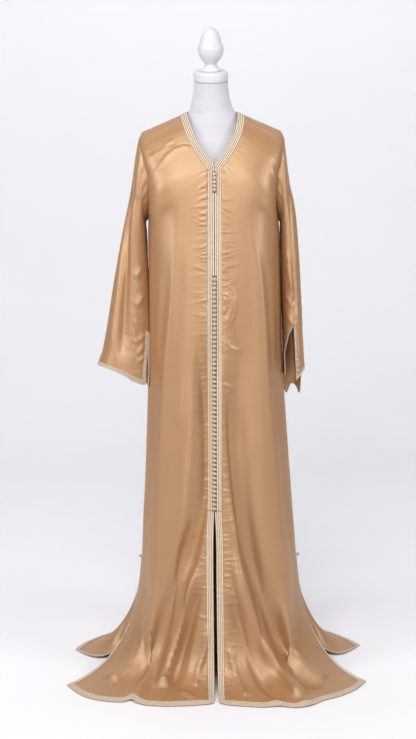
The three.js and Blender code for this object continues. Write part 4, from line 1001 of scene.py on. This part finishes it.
def repeated(name, points, normals, shape, sizes, material, way=(1, 0, 0)):
    """A plain mesh of one shape repeated at points."""
    holder_mesh = bpy.data.meshes.new(name + "_points")
    holder_mesh.from_pydata(np.asarray(points) * MM, [], [])
    for key, data in (("out", normals), ("way", np.tile(way, (len(points), 1)))):
        attribute = holder_mesh.attributes.new(key, "FLOAT_VECTOR", "POINT")
        attribute.data.foreach_set("vector", np.asarray(data, np.float32).ravel())
    holder = linked(name + "_points", holder_mesh)
    tree = repeat_tree(name + "_tree", shape, sizes, material)
    modifier = holder.modifiers.new(name, "NODES")
    modifier.node_group = tree
    for item in tree.interface.items_tree:
        if item.in_out == "INPUT" and item.name in sizes:
            modifier[item.identifier] = sizes[item.name] * MM
    bpy.context.view_layer.update()
    graph = bpy.context.evaluated_depsgraph_get()
    mesh = bpy.data.meshes.new_from_object(holder.evaluated_get(graph))
    mesh.name = name
    mesh.shade_smooth()
    keep(linked(name, mesh))
    bpy.data.objects.remove(holder)


def ball_shape(node, start):
    """A ball of knotted cord."""
    ball = node("GeometryNodeMeshUVSphere", None, {
        "Segments": 18, "Rings": 12, "Radius": start.outputs["Radius"]})
    kept = node("GeometryNodeStoreNamedAttribute", {"data_type": "FLOAT2", "domain": "CORNER"}, {
        "Geometry": ball.outputs["Mesh"], "Name": "cloth", "Value": ball.outputs["UV Map"]})
    return kept.outputs["Geometry"]


def arch_shape(node, start):
    """A loop of cord that lies flat round its ball, open on one side."""
    arc = node("GeometryNodeCurveArc", {"mode": "RADIUS"}, {
        "Resolution": 14, "Radius": start.outputs["Reach"],
        "Start Angle": math.radians(20), "Sweep Angle": math.radians(320)})
    ring = node("GeometryNodeCurvePrimitiveCircle", {"mode": "RADIUS"}, {
        "Resolution": 6, "Radius": start.outputs["Thickness"]})
    cord = node("GeometryNodeCurveToMesh", None, {
        "Curve": arc.outputs["Curve"], "Profile Curve": ring.outputs["Curve"]})
    return cord.outputs["Mesh"]


# Shaders
class Wire:
    """A socket in a shader, with arithmetic that adds Math nodes."""

    def __init__(self, shader, socket):
        self.shader, self.socket = shader, socket

    def maths(self, operation, *values):
        return self.shader.node("ShaderNodeMath", {"operation": operation}, values)["Value"]

    def sin(self):
        return self.maths("SINE", self)

    def abs(self):
        return self.maths("ABSOLUTE", self)

    def high(self, other):
        return self.maths("MAXIMUM", self, other)

    def low(self, other):
        return self.maths("MINIMUM", self, other)

    def clamped(self):
        return self.high(0.0).low(1.0)


def operator(operation, swapped):
    def act(self, other):
        return self.maths(operation, other, self) if swapped else self.maths(operation, self, other)
    return act


for sign, operation in (("add", "ADD"), ("sub", "SUBTRACT"), ("mul", "MULTIPLY"),
                        ("truediv", "DIVIDE"), ("pow", "POWER")):
    setattr(Wire, f"__{sign}__", operator(operation, False))
    setattr(Wire, f"__r{sign}__", operator(operation, True))


class Shader:
    """A material whose nodes come from one method."""

    def __init__(self, name, **settings):
        self.material = bpy.data.materials.new(name)
        self.material.use_nodes = True
        self.tree = self.material.node_tree
        self.tree.nodes.clear()
        output = self.tree.nodes.new("ShaderNodeOutputMaterial")
        self.surface = self.node("ShaderNodeBsdfPrincipled", None, settings)
        self.tree.links.new(self.surface["BSDF"].socket, output.inputs["Surface"])

    def node(self, kind, settings=None, inputs=None):
        made = self.tree.nodes.new(kind)
        for key, value in (settings or {}).items():
            setattr(made, key, value)
        pairs = inputs.items() if isinstance(inputs, dict) else enumerate(inputs or ())
        for key, value in pairs:
            self.set(made.inputs[key], value)
        outputs = {o.name: Wire(self, o) for o in reversed(made.outputs) if o.enabled}
        outputs["node"] = made
        return outputs

    def set(self, socket, value):
        if isinstance(value, Wire):
            self.tree.links.new(value.socket, socket)
        else:
            socket.default_value = value

    def feed(self, **values):
        for key, value in values.items():
            self.set(self.surface["node"].inputs[key.replace("_", " ")], value)

    def place(self):
        return self.node("ShaderNodeTexCoord")["Object"]

    def layout(self):
        return self.node("ShaderNodeUVMap", {"uv_map": "cloth"})["UV"]

    def split(self, vector):
        return self.node("ShaderNodeSeparateXYZ", None, {"Vector": vector})

    def blend(self, factor, a, b):
        made = self.node("ShaderNodeMix", {"data_type": "RGBA"})["node"]
        self.set(made.inputs["Factor"], factor)
        self.set(made.inputs[6], a)
        self.set(made.inputs[7], b)
        return Wire(self, made.outputs[2])

    def noise(self, place, scale, detail=3.0, stretch=(1, 1, 1)):
        turned = self.node("ShaderNodeMapping", None, {"Vector": place, "Scale": stretch})["Vector"]
        inputs = {"Vector": turned, "Scale": scale, "Detail": detail}
        return self.node("ShaderNodeTexNoise", None, inputs)["Fac"]

    def bump(self, height, strength, distance, normal=None):
        inputs = {"Height": height, "Strength": strength, "Distance": distance}
        if normal is not None:
            inputs["Normal"] = normal
        return self.node("ShaderNodeBump", None, inputs)["Normal"]


def rgb(red, green, blue):
    """A colour given as seen (0 to 255) in the values that a shader wants."""
    return tuple((c / 255 / 12.92 if c / 255 <= 0.04045 else ((c / 255 + 0.055) / 1.055) ** 2.4)
                 for c in (red, green, blue)) + (1.0,)


def satin():
    """Gold satin: warp threads give a soft lengthwise gleam, with slubs across and a slightly uneven tone."""
    m = Shader("gold_satin", **{
        "Roughness": 0.38, "Specular IOR Level": 1.0,
        "Specular Tint": rgb(255, 243, 212), "Metallic": 0.1, "IOR": 1.75})
    uv = m.layout()
    slub = m.noise(uv, 30.0, 4.0, (6, 70, 1))
    thread = m.noise(uv, 300.0, 2.0, (1, 9, 1))
    cloud = m.noise(uv, 9.0, 3.0, (1, 0.5, 1))
    tone = (0.55 * cloud + 0.3 * slub + 0.15 * thread)
    m.feed(Base_Color=m.blend(tone, rgb(150, 104, 68), rgb(178, 131, 92)))
    m.feed(Roughness=0.4 + 0.1 * slub)
    rumple = m.noise(uv, 45.0, 3.0, (1, 0.6, 1))
    streak = m.noise(uv, 60.0, 3.0, (2.2, 0.12, 1))
    normal = m.bump(rumple + 0.9 * streak, 0.22, 0.0014)
    m.feed(Normal=m.bump(slub + 0.6 * thread, 0.12, 0.0003, normal))
    return m.material


def braid():
    """Braid of twisted silk cord: slanting turns of thread, painted shade in the grooves between cords, and
    painted shadow between the buttons.
    """
    m = Shader("silk_braid", **{"Roughness": 0.62, "Specular IOR Level": 0.4, "Sheen Weight": 0.25})
    uv = m.layout()
    parts = m.split(uv)
    across, along = parts["X"] * (CORDS / BRAID_UV), parts["Y"]
    cord = (across * math.pi).sin().abs()
    turns = (along * (2 * math.pi / 0.0026) + across * 2 * math.pi).sin()
    uneven = m.noise(uv, 120.0, 3.0)
    # The darker grooves between the cords are painted shade; the slanting turns and the uneven tone are the
    # braid's own.
    shade = (0.78 * cord ** 1.6 + 0.1 * turns + 0.22 * uneven)
    place = m.split(m.place())
    # Painted shadow: deep brown spots between the balls of each button row, on the braid's inner half beside
    # the closure, blended in with rgb(70, 40, 24).
    inner_half = ((parts["X"] / BRAID_UV - 0.6) * 5).clamped()
    beside = inner_half * ((0.05 - place["X"].abs()) * 100).clamped()
    button_gap_shadow = 0.0
    for first, last, count in BUTTON_ROWS:
        step = (first - last) / (count - 1)
        turn = (place["Z"] - first * MM) * (2 * math.pi / step / MM) + math.pi / 2
        between = 0.5 - 0.5 * turn.sin()
        above = ((place["Z"] - (last - step) * MM) * 400).clamped()
        below = (((first + step) * MM - place["Z"]) * 400).clamped()
        button_gap_shadow = between * (above * below) * beside + button_gap_shadow
    light = m.blend(shade.clamped(), rgb(112, 82, 60), rgb(236, 217, 194))
    m.feed(Base_Color=m.blend(button_gap_shadow.low(1.0), light, rgb(70, 40, 24)))
    m.feed(Normal=m.bump(turns * 0.3 + cord, 0.6, 0.0006))
    return m.material


def knotted():
    """Balls of knotted cord, woven both ways."""
    m = Shader("knotted_cord", **{"Roughness": 0.55, "Specular IOR Level": 0.4, "Sheen Weight": 0.2})
    parts = m.split(m.layout())
    round_it, down_it = parts["X"] * (2 * math.pi * 5), parts["Y"] * (2 * math.pi * 3)
    weave = (round_it + down_it).sin().high((round_it - down_it).sin())
    m.feed(Base_Color=m.blend(0.5 + 0.35 * weave, rgb(150, 116, 86), rgb(236, 216, 190)))
    m.feed(Normal=m.bump(weave, 0.7, 0.0008))
    return m.material


def plain_cord():
    m = Shader("loop_cord", **{"Roughness": 0.6, "Sheen Weight": 0.2})
    uneven = m.noise(m.place(), 900.0, 2.0)
    m.feed(Base_Color=m.blend(uneven, rgb(140, 106, 78), rgb(206, 182, 154)))
    m.feed(Normal=m.bump(uneven, 0.4, 0.0004))
    return m.material


def form_cover():
    """Close white jersey over the form."""
    m = Shader("white_jersey", **{"Roughness": 0.85, "Specular IOR Level": 0.25, "Sheen Weight": 0.3})
    place = m.place()
    knit = m.noise(place, 1400.0, 2.0, (1, 1, 0.5))
    cloud = m.noise(place, 14.0, 3.0)
    m.feed(Base_Color=m.blend(0.6 * cloud + 0.4 * knit, rgb(190, 189, 195), rgb(202, 201, 207)))
    m.feed(Normal=m.bump(knit, 0.25, 0.0004))
    return m.material


def form_paint():
    """White lacquer on turned wood: faint lathe lines."""
    m = Shader("white_lacquer", **{"Roughness": 0.35, "Specular IOR Level": 0.5, "Coat Roughness": 0.2})
    place = m.place()
    lines = m.noise(place, 60.0, 2.0, (0.3, 0.3, 24))
    cloud = m.noise(place, 20.0, 3.0)
    m.feed(Base_Color=m.blend(0.7 * cloud + 0.3 * lines, rgb(197, 198, 203), rgb(213, 214, 218)))
    m.feed(Roughness=0.3 + 0.12 * cloud)
    m.feed(Normal=m.bump(lines, 0.15, 0.0003))
    return m.material


def stand_metal():
    """Powder-coated steel, given a red-brown that stands in for the shaded satin seen through the front slit:
    painted shade.
    """
    m = Shader("coated_steel", **{"Roughness": 0.42, "Metallic": 0.15, "Specular IOR Level": 0.5})
    place = m.place()
    grain = m.noise(place, 700.0, 2.0)
    cloud = m.noise(place, 25.0, 2.0)
    # The red-brown is painted shade: it makes the pole seen through the slit look like the shaded satin inside
    # the skirt.
    m.feed(Base_Color=m.blend(0.5 * grain + 0.5 * cloud, rgb(150, 84, 50), rgb(172, 100, 62)))
    m.feed(Roughness=0.36 + 0.14 * grain)
    m.feed(Normal=m.bump(grain, 0.2, 0.0003))
    return m.material


SATIN, BRAID, KNOT, LOOP = satin(), braid(), knotted(), plain_cord()
JERSEY, LACQUER, STEEL = form_cover(), form_paint(), stand_metal()

# Buttons, loops and knots
NECK_RADIUS, ROW_RADIUS, CUFF_RADIUS, KNOT_RADIUS = 4.4, 4.2, 3.0, 4.5
ON_BRAID = 1.75  # height of the braid's face over the cloth
ON_LOOP = ON_BRAID + 1.1


def balls(name, points, normals, radius, lift):
    """A ball button at each point, numbered from the top."""
    for n in range(len(points)):
        one = slice(n, n + 1)
        centre = points[one] + normals[one] * (lift + radius)
        repeated(f"{name}_{n + 1}", centre, normals[one], ball_shape, {"Radius": radius}, KNOT)


def loops(name, points, normals, reach, thickness):
    sizes = {"Reach": reach, "Thickness": thickness}
    repeated(name, points + normals * ON_LOOP, normals, arch_shape, sizes, LOOP)


neck_p, neck_n = middle_line(np.linspace(*BUTTON_ROWS[0]))
row_p, row_n = middle_line(np.linspace(*BUTTON_ROWS[1]))
balls("neck_ball", neck_p, neck_n, NECK_RADIUS, ON_BRAID)
repeated("row_balls", row_p + row_n * (ON_BRAID + ROW_RADIUS), row_n, ball_shape, {"Radius": ROW_RADIUS}, KNOT)
loops("row_loops", row_p, row_n, 5.1, 0.85)
loops("neck_loops", neck_p, neck_n, 4.6, 0.8)

steps = 400
edge_p, edge_n = sleeves[1].at(15.7, np.linspace(10, SLEEVE_RINGS, steps))
cuff_z = np.linspace(837, 792, 4)
cuff_p, cuff_n = at_height(cuff_z, edge_p, edge_p), unit(at_height(cuff_z, edge_p, edge_n))
balls("cuff_ball", cuff_p, cuff_n, CUFF_RADIUS, ON_BRAID + 0.3)

for side in SIDES:
    low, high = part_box("slit_knot_" + NAMES[side])
    centre = (low + high) / 2 / MM
    repeated("slit_ball_" + NAMES[side], [tuple(centre)], [[side, 0, 0]], ball_shape,
             {"Radius": KNOT_RADIUS}, KNOT, (0, 1, 0))

# Dress form
FORM_ANGLES = np.arange(112) / 112 * 2 * math.pi


def form_ring(z, half, front, back_depth, core_half, core_front, core_back, shift):
    """A ring of the form: a soft oval whose depth blends into that of an ellipse at its core."""
    c, s = np.cos(FORM_ANGLES), np.sin(FORM_ANGLES)
    x = np.sign(c) * np.abs(c) ** 0.92 * half
    inside = np.sqrt(np.maximum(1 - (x / core_half) ** 2, 0))
    outer = np.where(s > 0, back_depth, front) * np.abs(s) ** 0.92
    core = np.where(s > 0, core_back, core_front) * inside
    deep = (outer ** 4 + core ** 4) ** 0.25
    return np.stack([x + shift, np.sign(s) * deep, np.full(len(s), float(z))], -1)


def stacked(name, rings):
    """A closed skin over rings of points, from the bottom up."""
    nr, sides = rings.shape[:2]
    points = np.concatenate([rings.reshape(-1, 3), rings[:1].mean(1), rings[-1:].mean(1)])
    i, j = np.meshgrid(np.arange(nr - 1), np.arange(sides), indexing="ij")
    a, b = i * sides + j, i * sides + (j + 1) % sides
    quads = np.stack([a, b, b + sides, a + sides], -1).reshape(-1, 4).tolist()
    base, top = nr * sides, nr * sides + 1
    caps = [[base, (n + 1) % sides, n] for n in range(sides)]
    caps += [[top, (nr - 1) * sides + n, (nr - 1) * sides + (n + 1) % sides] for n in range(sides)]
    return add_object(name, points, quads + caps, sharp=45)


def refined(values, fine):
    """The same values with fine smooth steps from each to the next."""
    at = np.linspace(0, len(values) - 1, (len(values) - 1) * fine + 1)
    flat = values.reshape(len(values), -1)
    between = np.stack([smooth(np.arange(len(values)), column, at) for column in flat.T], -1)
    return between.reshape((len(at),) + values.shape[1:])


rings = [form_ring(*row, 0) for row in TORSO]
out, drop = SHOULDER_HALF - NECK_HALF, NECK_TOP - SHOULDER_TOP
for half, shoulder, core_half, core_front, core_back in SLOPE:
    t = (half - NECK_HALF) / out
    z = NECK_TOP - drop * t - SHOULDER_ROOM / math.cos(math.atan(drop / out))
    rings.append(form_ring(z, half, shoulder, shoulder, core_half, core_front, core_back, NECK_SHIFT * (1 - t)))
for z, half, front, back_depth, shift in NECK:
    rings.append(form_ring(z, half, front, back_depth, 1, 0, 0, shift))
rings[-1][:, 2] += (rings[-1][:, 1] + 9) * 0.17  # the neck's top leans like its cap
keep(stacked("form_cover", refined(np.array(rings), 4)))


def lathe(name, profile, sides, fine, lean=0, move=(0, 0, 0)):
    """A turned piece: its profile is (radius, height) from the bottom up."""
    profile = refined(np.asarray(profile, float), fine)
    radius, height = profile[1:-1, :1], profile[1:-1, 1:]
    angle = np.arange(sides) / sides * 2 * math.pi
    rings = np.broadcast_arrays(radius * np.cos(angle), radius * np.sin(angle), height + 0 * angle)
    made = stacked(name, np.stack(rings, -1))
    made.data.transform(
        Matrix.Translation(Vector(move) * MM) @ Matrix.Rotation(math.radians(lean), 4, "X"))
    keep(made)


lathe("form_cap", [
    (0, 0), (40, 0), (42, 0.8), (43, 2), (44, 6), (44, 18), (43.6, 21), (42.5, 23), (40.6, 25), (38, 26),
    (34, 26.4), (0, 27)], 96, 3, 10, (0, -10, 1548.4))
lathe("form_knob", [
    (0, 0), (26, 0), (25.5, 2.5), (20, 7), (15.6, 12), (15, 15.5), (17, 19.5), (26, 30.6), (31.5, 42),
    (33.4, 54.8), (31.6, 64), (30.8, 66), (28.6, 67.2), (28, 68.4), (24, 85.5), (18, 98.4), (12, 104.4),
    (5, 107.6), (0, 108)], 80, 4, 10, (0, -14.8, 1575.4))
lathe("form_post", [
    (0, 12.3), (12, 12.3), (12, 13), (12, 60), (12.0, 61), (11.6, 62), (12, 63), (12, 400), (12, 700),
    (12, 791.7), (0, 791.7)], 40, 3)
lathe("form_foot", [
    (0, 0), (148, 0), (149.4, 0.5), (150, 1.6), (150, 5), (149.4, 7), (147.6, 8.6), (144, 11), (138, 12),
    (60, 12), (0, 12)], 120, 4)

# Finish of each piece, by the first word that its name has
FINISHES = [
    ("cloth", SATIN, "satin"), ("band", BRAID, "braid"), ("ball", KNOT, "braid"), ("loops", LOOP, "braid"),
    ("form_cover", JERSEY, "form_cover"), ("form_cap", LACQUER, "form_turned"),
    ("form_knob", LACQUER, "form_turned"), ("form_", STEEL, "stand_metal"),
]

# Which solid each piece stands for
STANDS_FOR = {
    "back_cloth": "back_panel", "neck_band": "neck_braid", "hem_band_back": "hem_braid_back",
    "row_balls": "closure_button_row", "form_cover": "form_torso", "form_cap": "form_neck_cap",
    "form_knob": "form_finial", "form_post": "form_pole", "form_foot": "form_base",
}
for name in NAMES.values():
    for piece, solid in (("front_cloth_", "front_panel_"), ("sleeve_cloth_", "sleeve_"),
                         ("placket_band_", "placket_braid_"), ("hem_band_", "hem_braid_"),
                         ("cuff_band_", "cuff_braid_"), ("slit_ball_", "slit_knot_")):
        STANDS_FOR[piece + name] = solid + name
for n in range(1, 6):
    STANDS_FOR[f"neck_ball_{n}"] = f"neck_button_{n}"
for n in range(1, 5):
    STANDS_FOR[f"cuff_ball_{n}"] = f"cuff_button_right_{n}"

for name, piece in pieces.items():
    material, slot = next(finish[1:] for finish in FINISHES if finish[0] in name)
    piece.data.materials.clear()
    piece.data.materials.append(material)
    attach(piece, "root")
    if name in STANDS_FOR:
        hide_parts(STANDS_FOR[name])

# Each sheet of cloth, with the braid and knots sewn to it
SHEETS = [("front_cloth_", side, fronts[side], ["placket_band_", "hem_band_", "slit_ball_"]) for side in SIDES]
SHEETS += [("back_cloth", 0, back, ["hem_band_back", "neck_band"])]
SHEETS += [("sleeve_cloth_", side, sleeves[side], ["cuff_band_"]) for side in SIDES]
for name, side, cloth, sewn_on in SHEETS:
    down = lengths_down(cloth.points)[-1].max() * MM


# Floor, backdrop, light and camera, in metres
def sweep():
    """A floor that curves up into the backdrop."""
    front, bend, radius, top, half = -1.3, 2.2, 1.2, 6.0, 6
    line = [(front, 0.0), (bend, 0.0)]
    line += [(bend + radius * math.sin(a), radius - radius * math.cos(a))
             for a in np.linspace(0.1, math.pi / 2, 14)]
    line += [(bend + radius, top)]
    points, faces = [], []
    for y, z in line:
        points += [(-half / MM, y / MM, z / MM), (half / MM, y / MM, z / MM)]
    for n in range(len(line) - 1):
        faces.append((2 * n, 2 * n + 1, 2 * n + 3, 2 * n + 2))
    made = add_object("studio_sweep", points, faces, sharp=0)
    m = Shader("studio_paper", **{"Roughness": 0.9, "Specular IOR Level": 0.1})
    m.feed(Base_Color=m.blend(m.noise(m.place(), 3.0), rgb(236, 236, 240), rgb(240, 240, 243)))
    made.data.materials.append(m.material)
    return made


sweep()

world = bpy.data.worlds.new("studio")
bpy.context.scene.world = world
world.use_nodes = True
world.node_tree.nodes["Background"].inputs["Color"].default_value = (0.93, 0.95, 1.0, 1)
world.node_tree.nodes["Background"].inputs["Strength"].default_value = 0.22


def lamp(name, place, aim, size, power, colour=(1, 1, 1)):
    data = bpy.data.lights.new(name, "AREA")
    data.shape = "RECTANGLE"
    data.size, data.size_y = size
    data.energy = power
    data.color = colour
    made = linked(name, data)
    made.location = place
    made.rotation_euler = (Vector(aim) - Vector(place)).to_track_quat("-Z", "Y").to_euler()


WARM = (1.0, 0.98, 0.95)
lamp("key_light", (-0.55, -3.1, 2.75), (0, 0, 1.5), (1.7, 1.0), 54, WARM)
lamp("front_light", (0, -4.15, 1.1), (0, 0, 1.3), (2.2, 0.7), 30, WARM)
lamp("top_light", (-0.3, -1.6, 3.3), (0, -0.1, 0.6), (2.0, 0.8), 24)
lamp("side_light_left", (-2.3, -1.5, 1.85), (0, 0, 1.35), (0.8, 1.4), 31)
lamp("side_light_right", (2.3, -1.5, 1.85), (0, 0, 1.35), (0.8, 1.4), 29)
lamp("backdrop_light", (0, 0.9, 3.6), (0, 3.2, 1.2), (5.5, 0.8), 61)

FOCAL, PICTURE_HEIGHT = 1533, 739  # in pixels of the picture
SENSOR = 36
camera_data = bpy.data.cameras.new("camera")
camera_data.lens = FOCAL / PICTURE_HEIGHT * SENSOR
camera_data.sensor_width = SENSOR
camera = linked("camera", camera_data)
TILT = Euler((math.radians(80.04), 0, 0)).to_matrix().to_4x4()
ROLL = Matrix.Rotation(math.radians(-0.6), 4, "Z")
camera.matrix_world = Matrix.Translation((-0.0152, -4.0, 1.5)) @ TILT @ ROLL
bpy.context.scene.camera = camera
bpy.context.scene.view_settings.view_transform = "Standard"
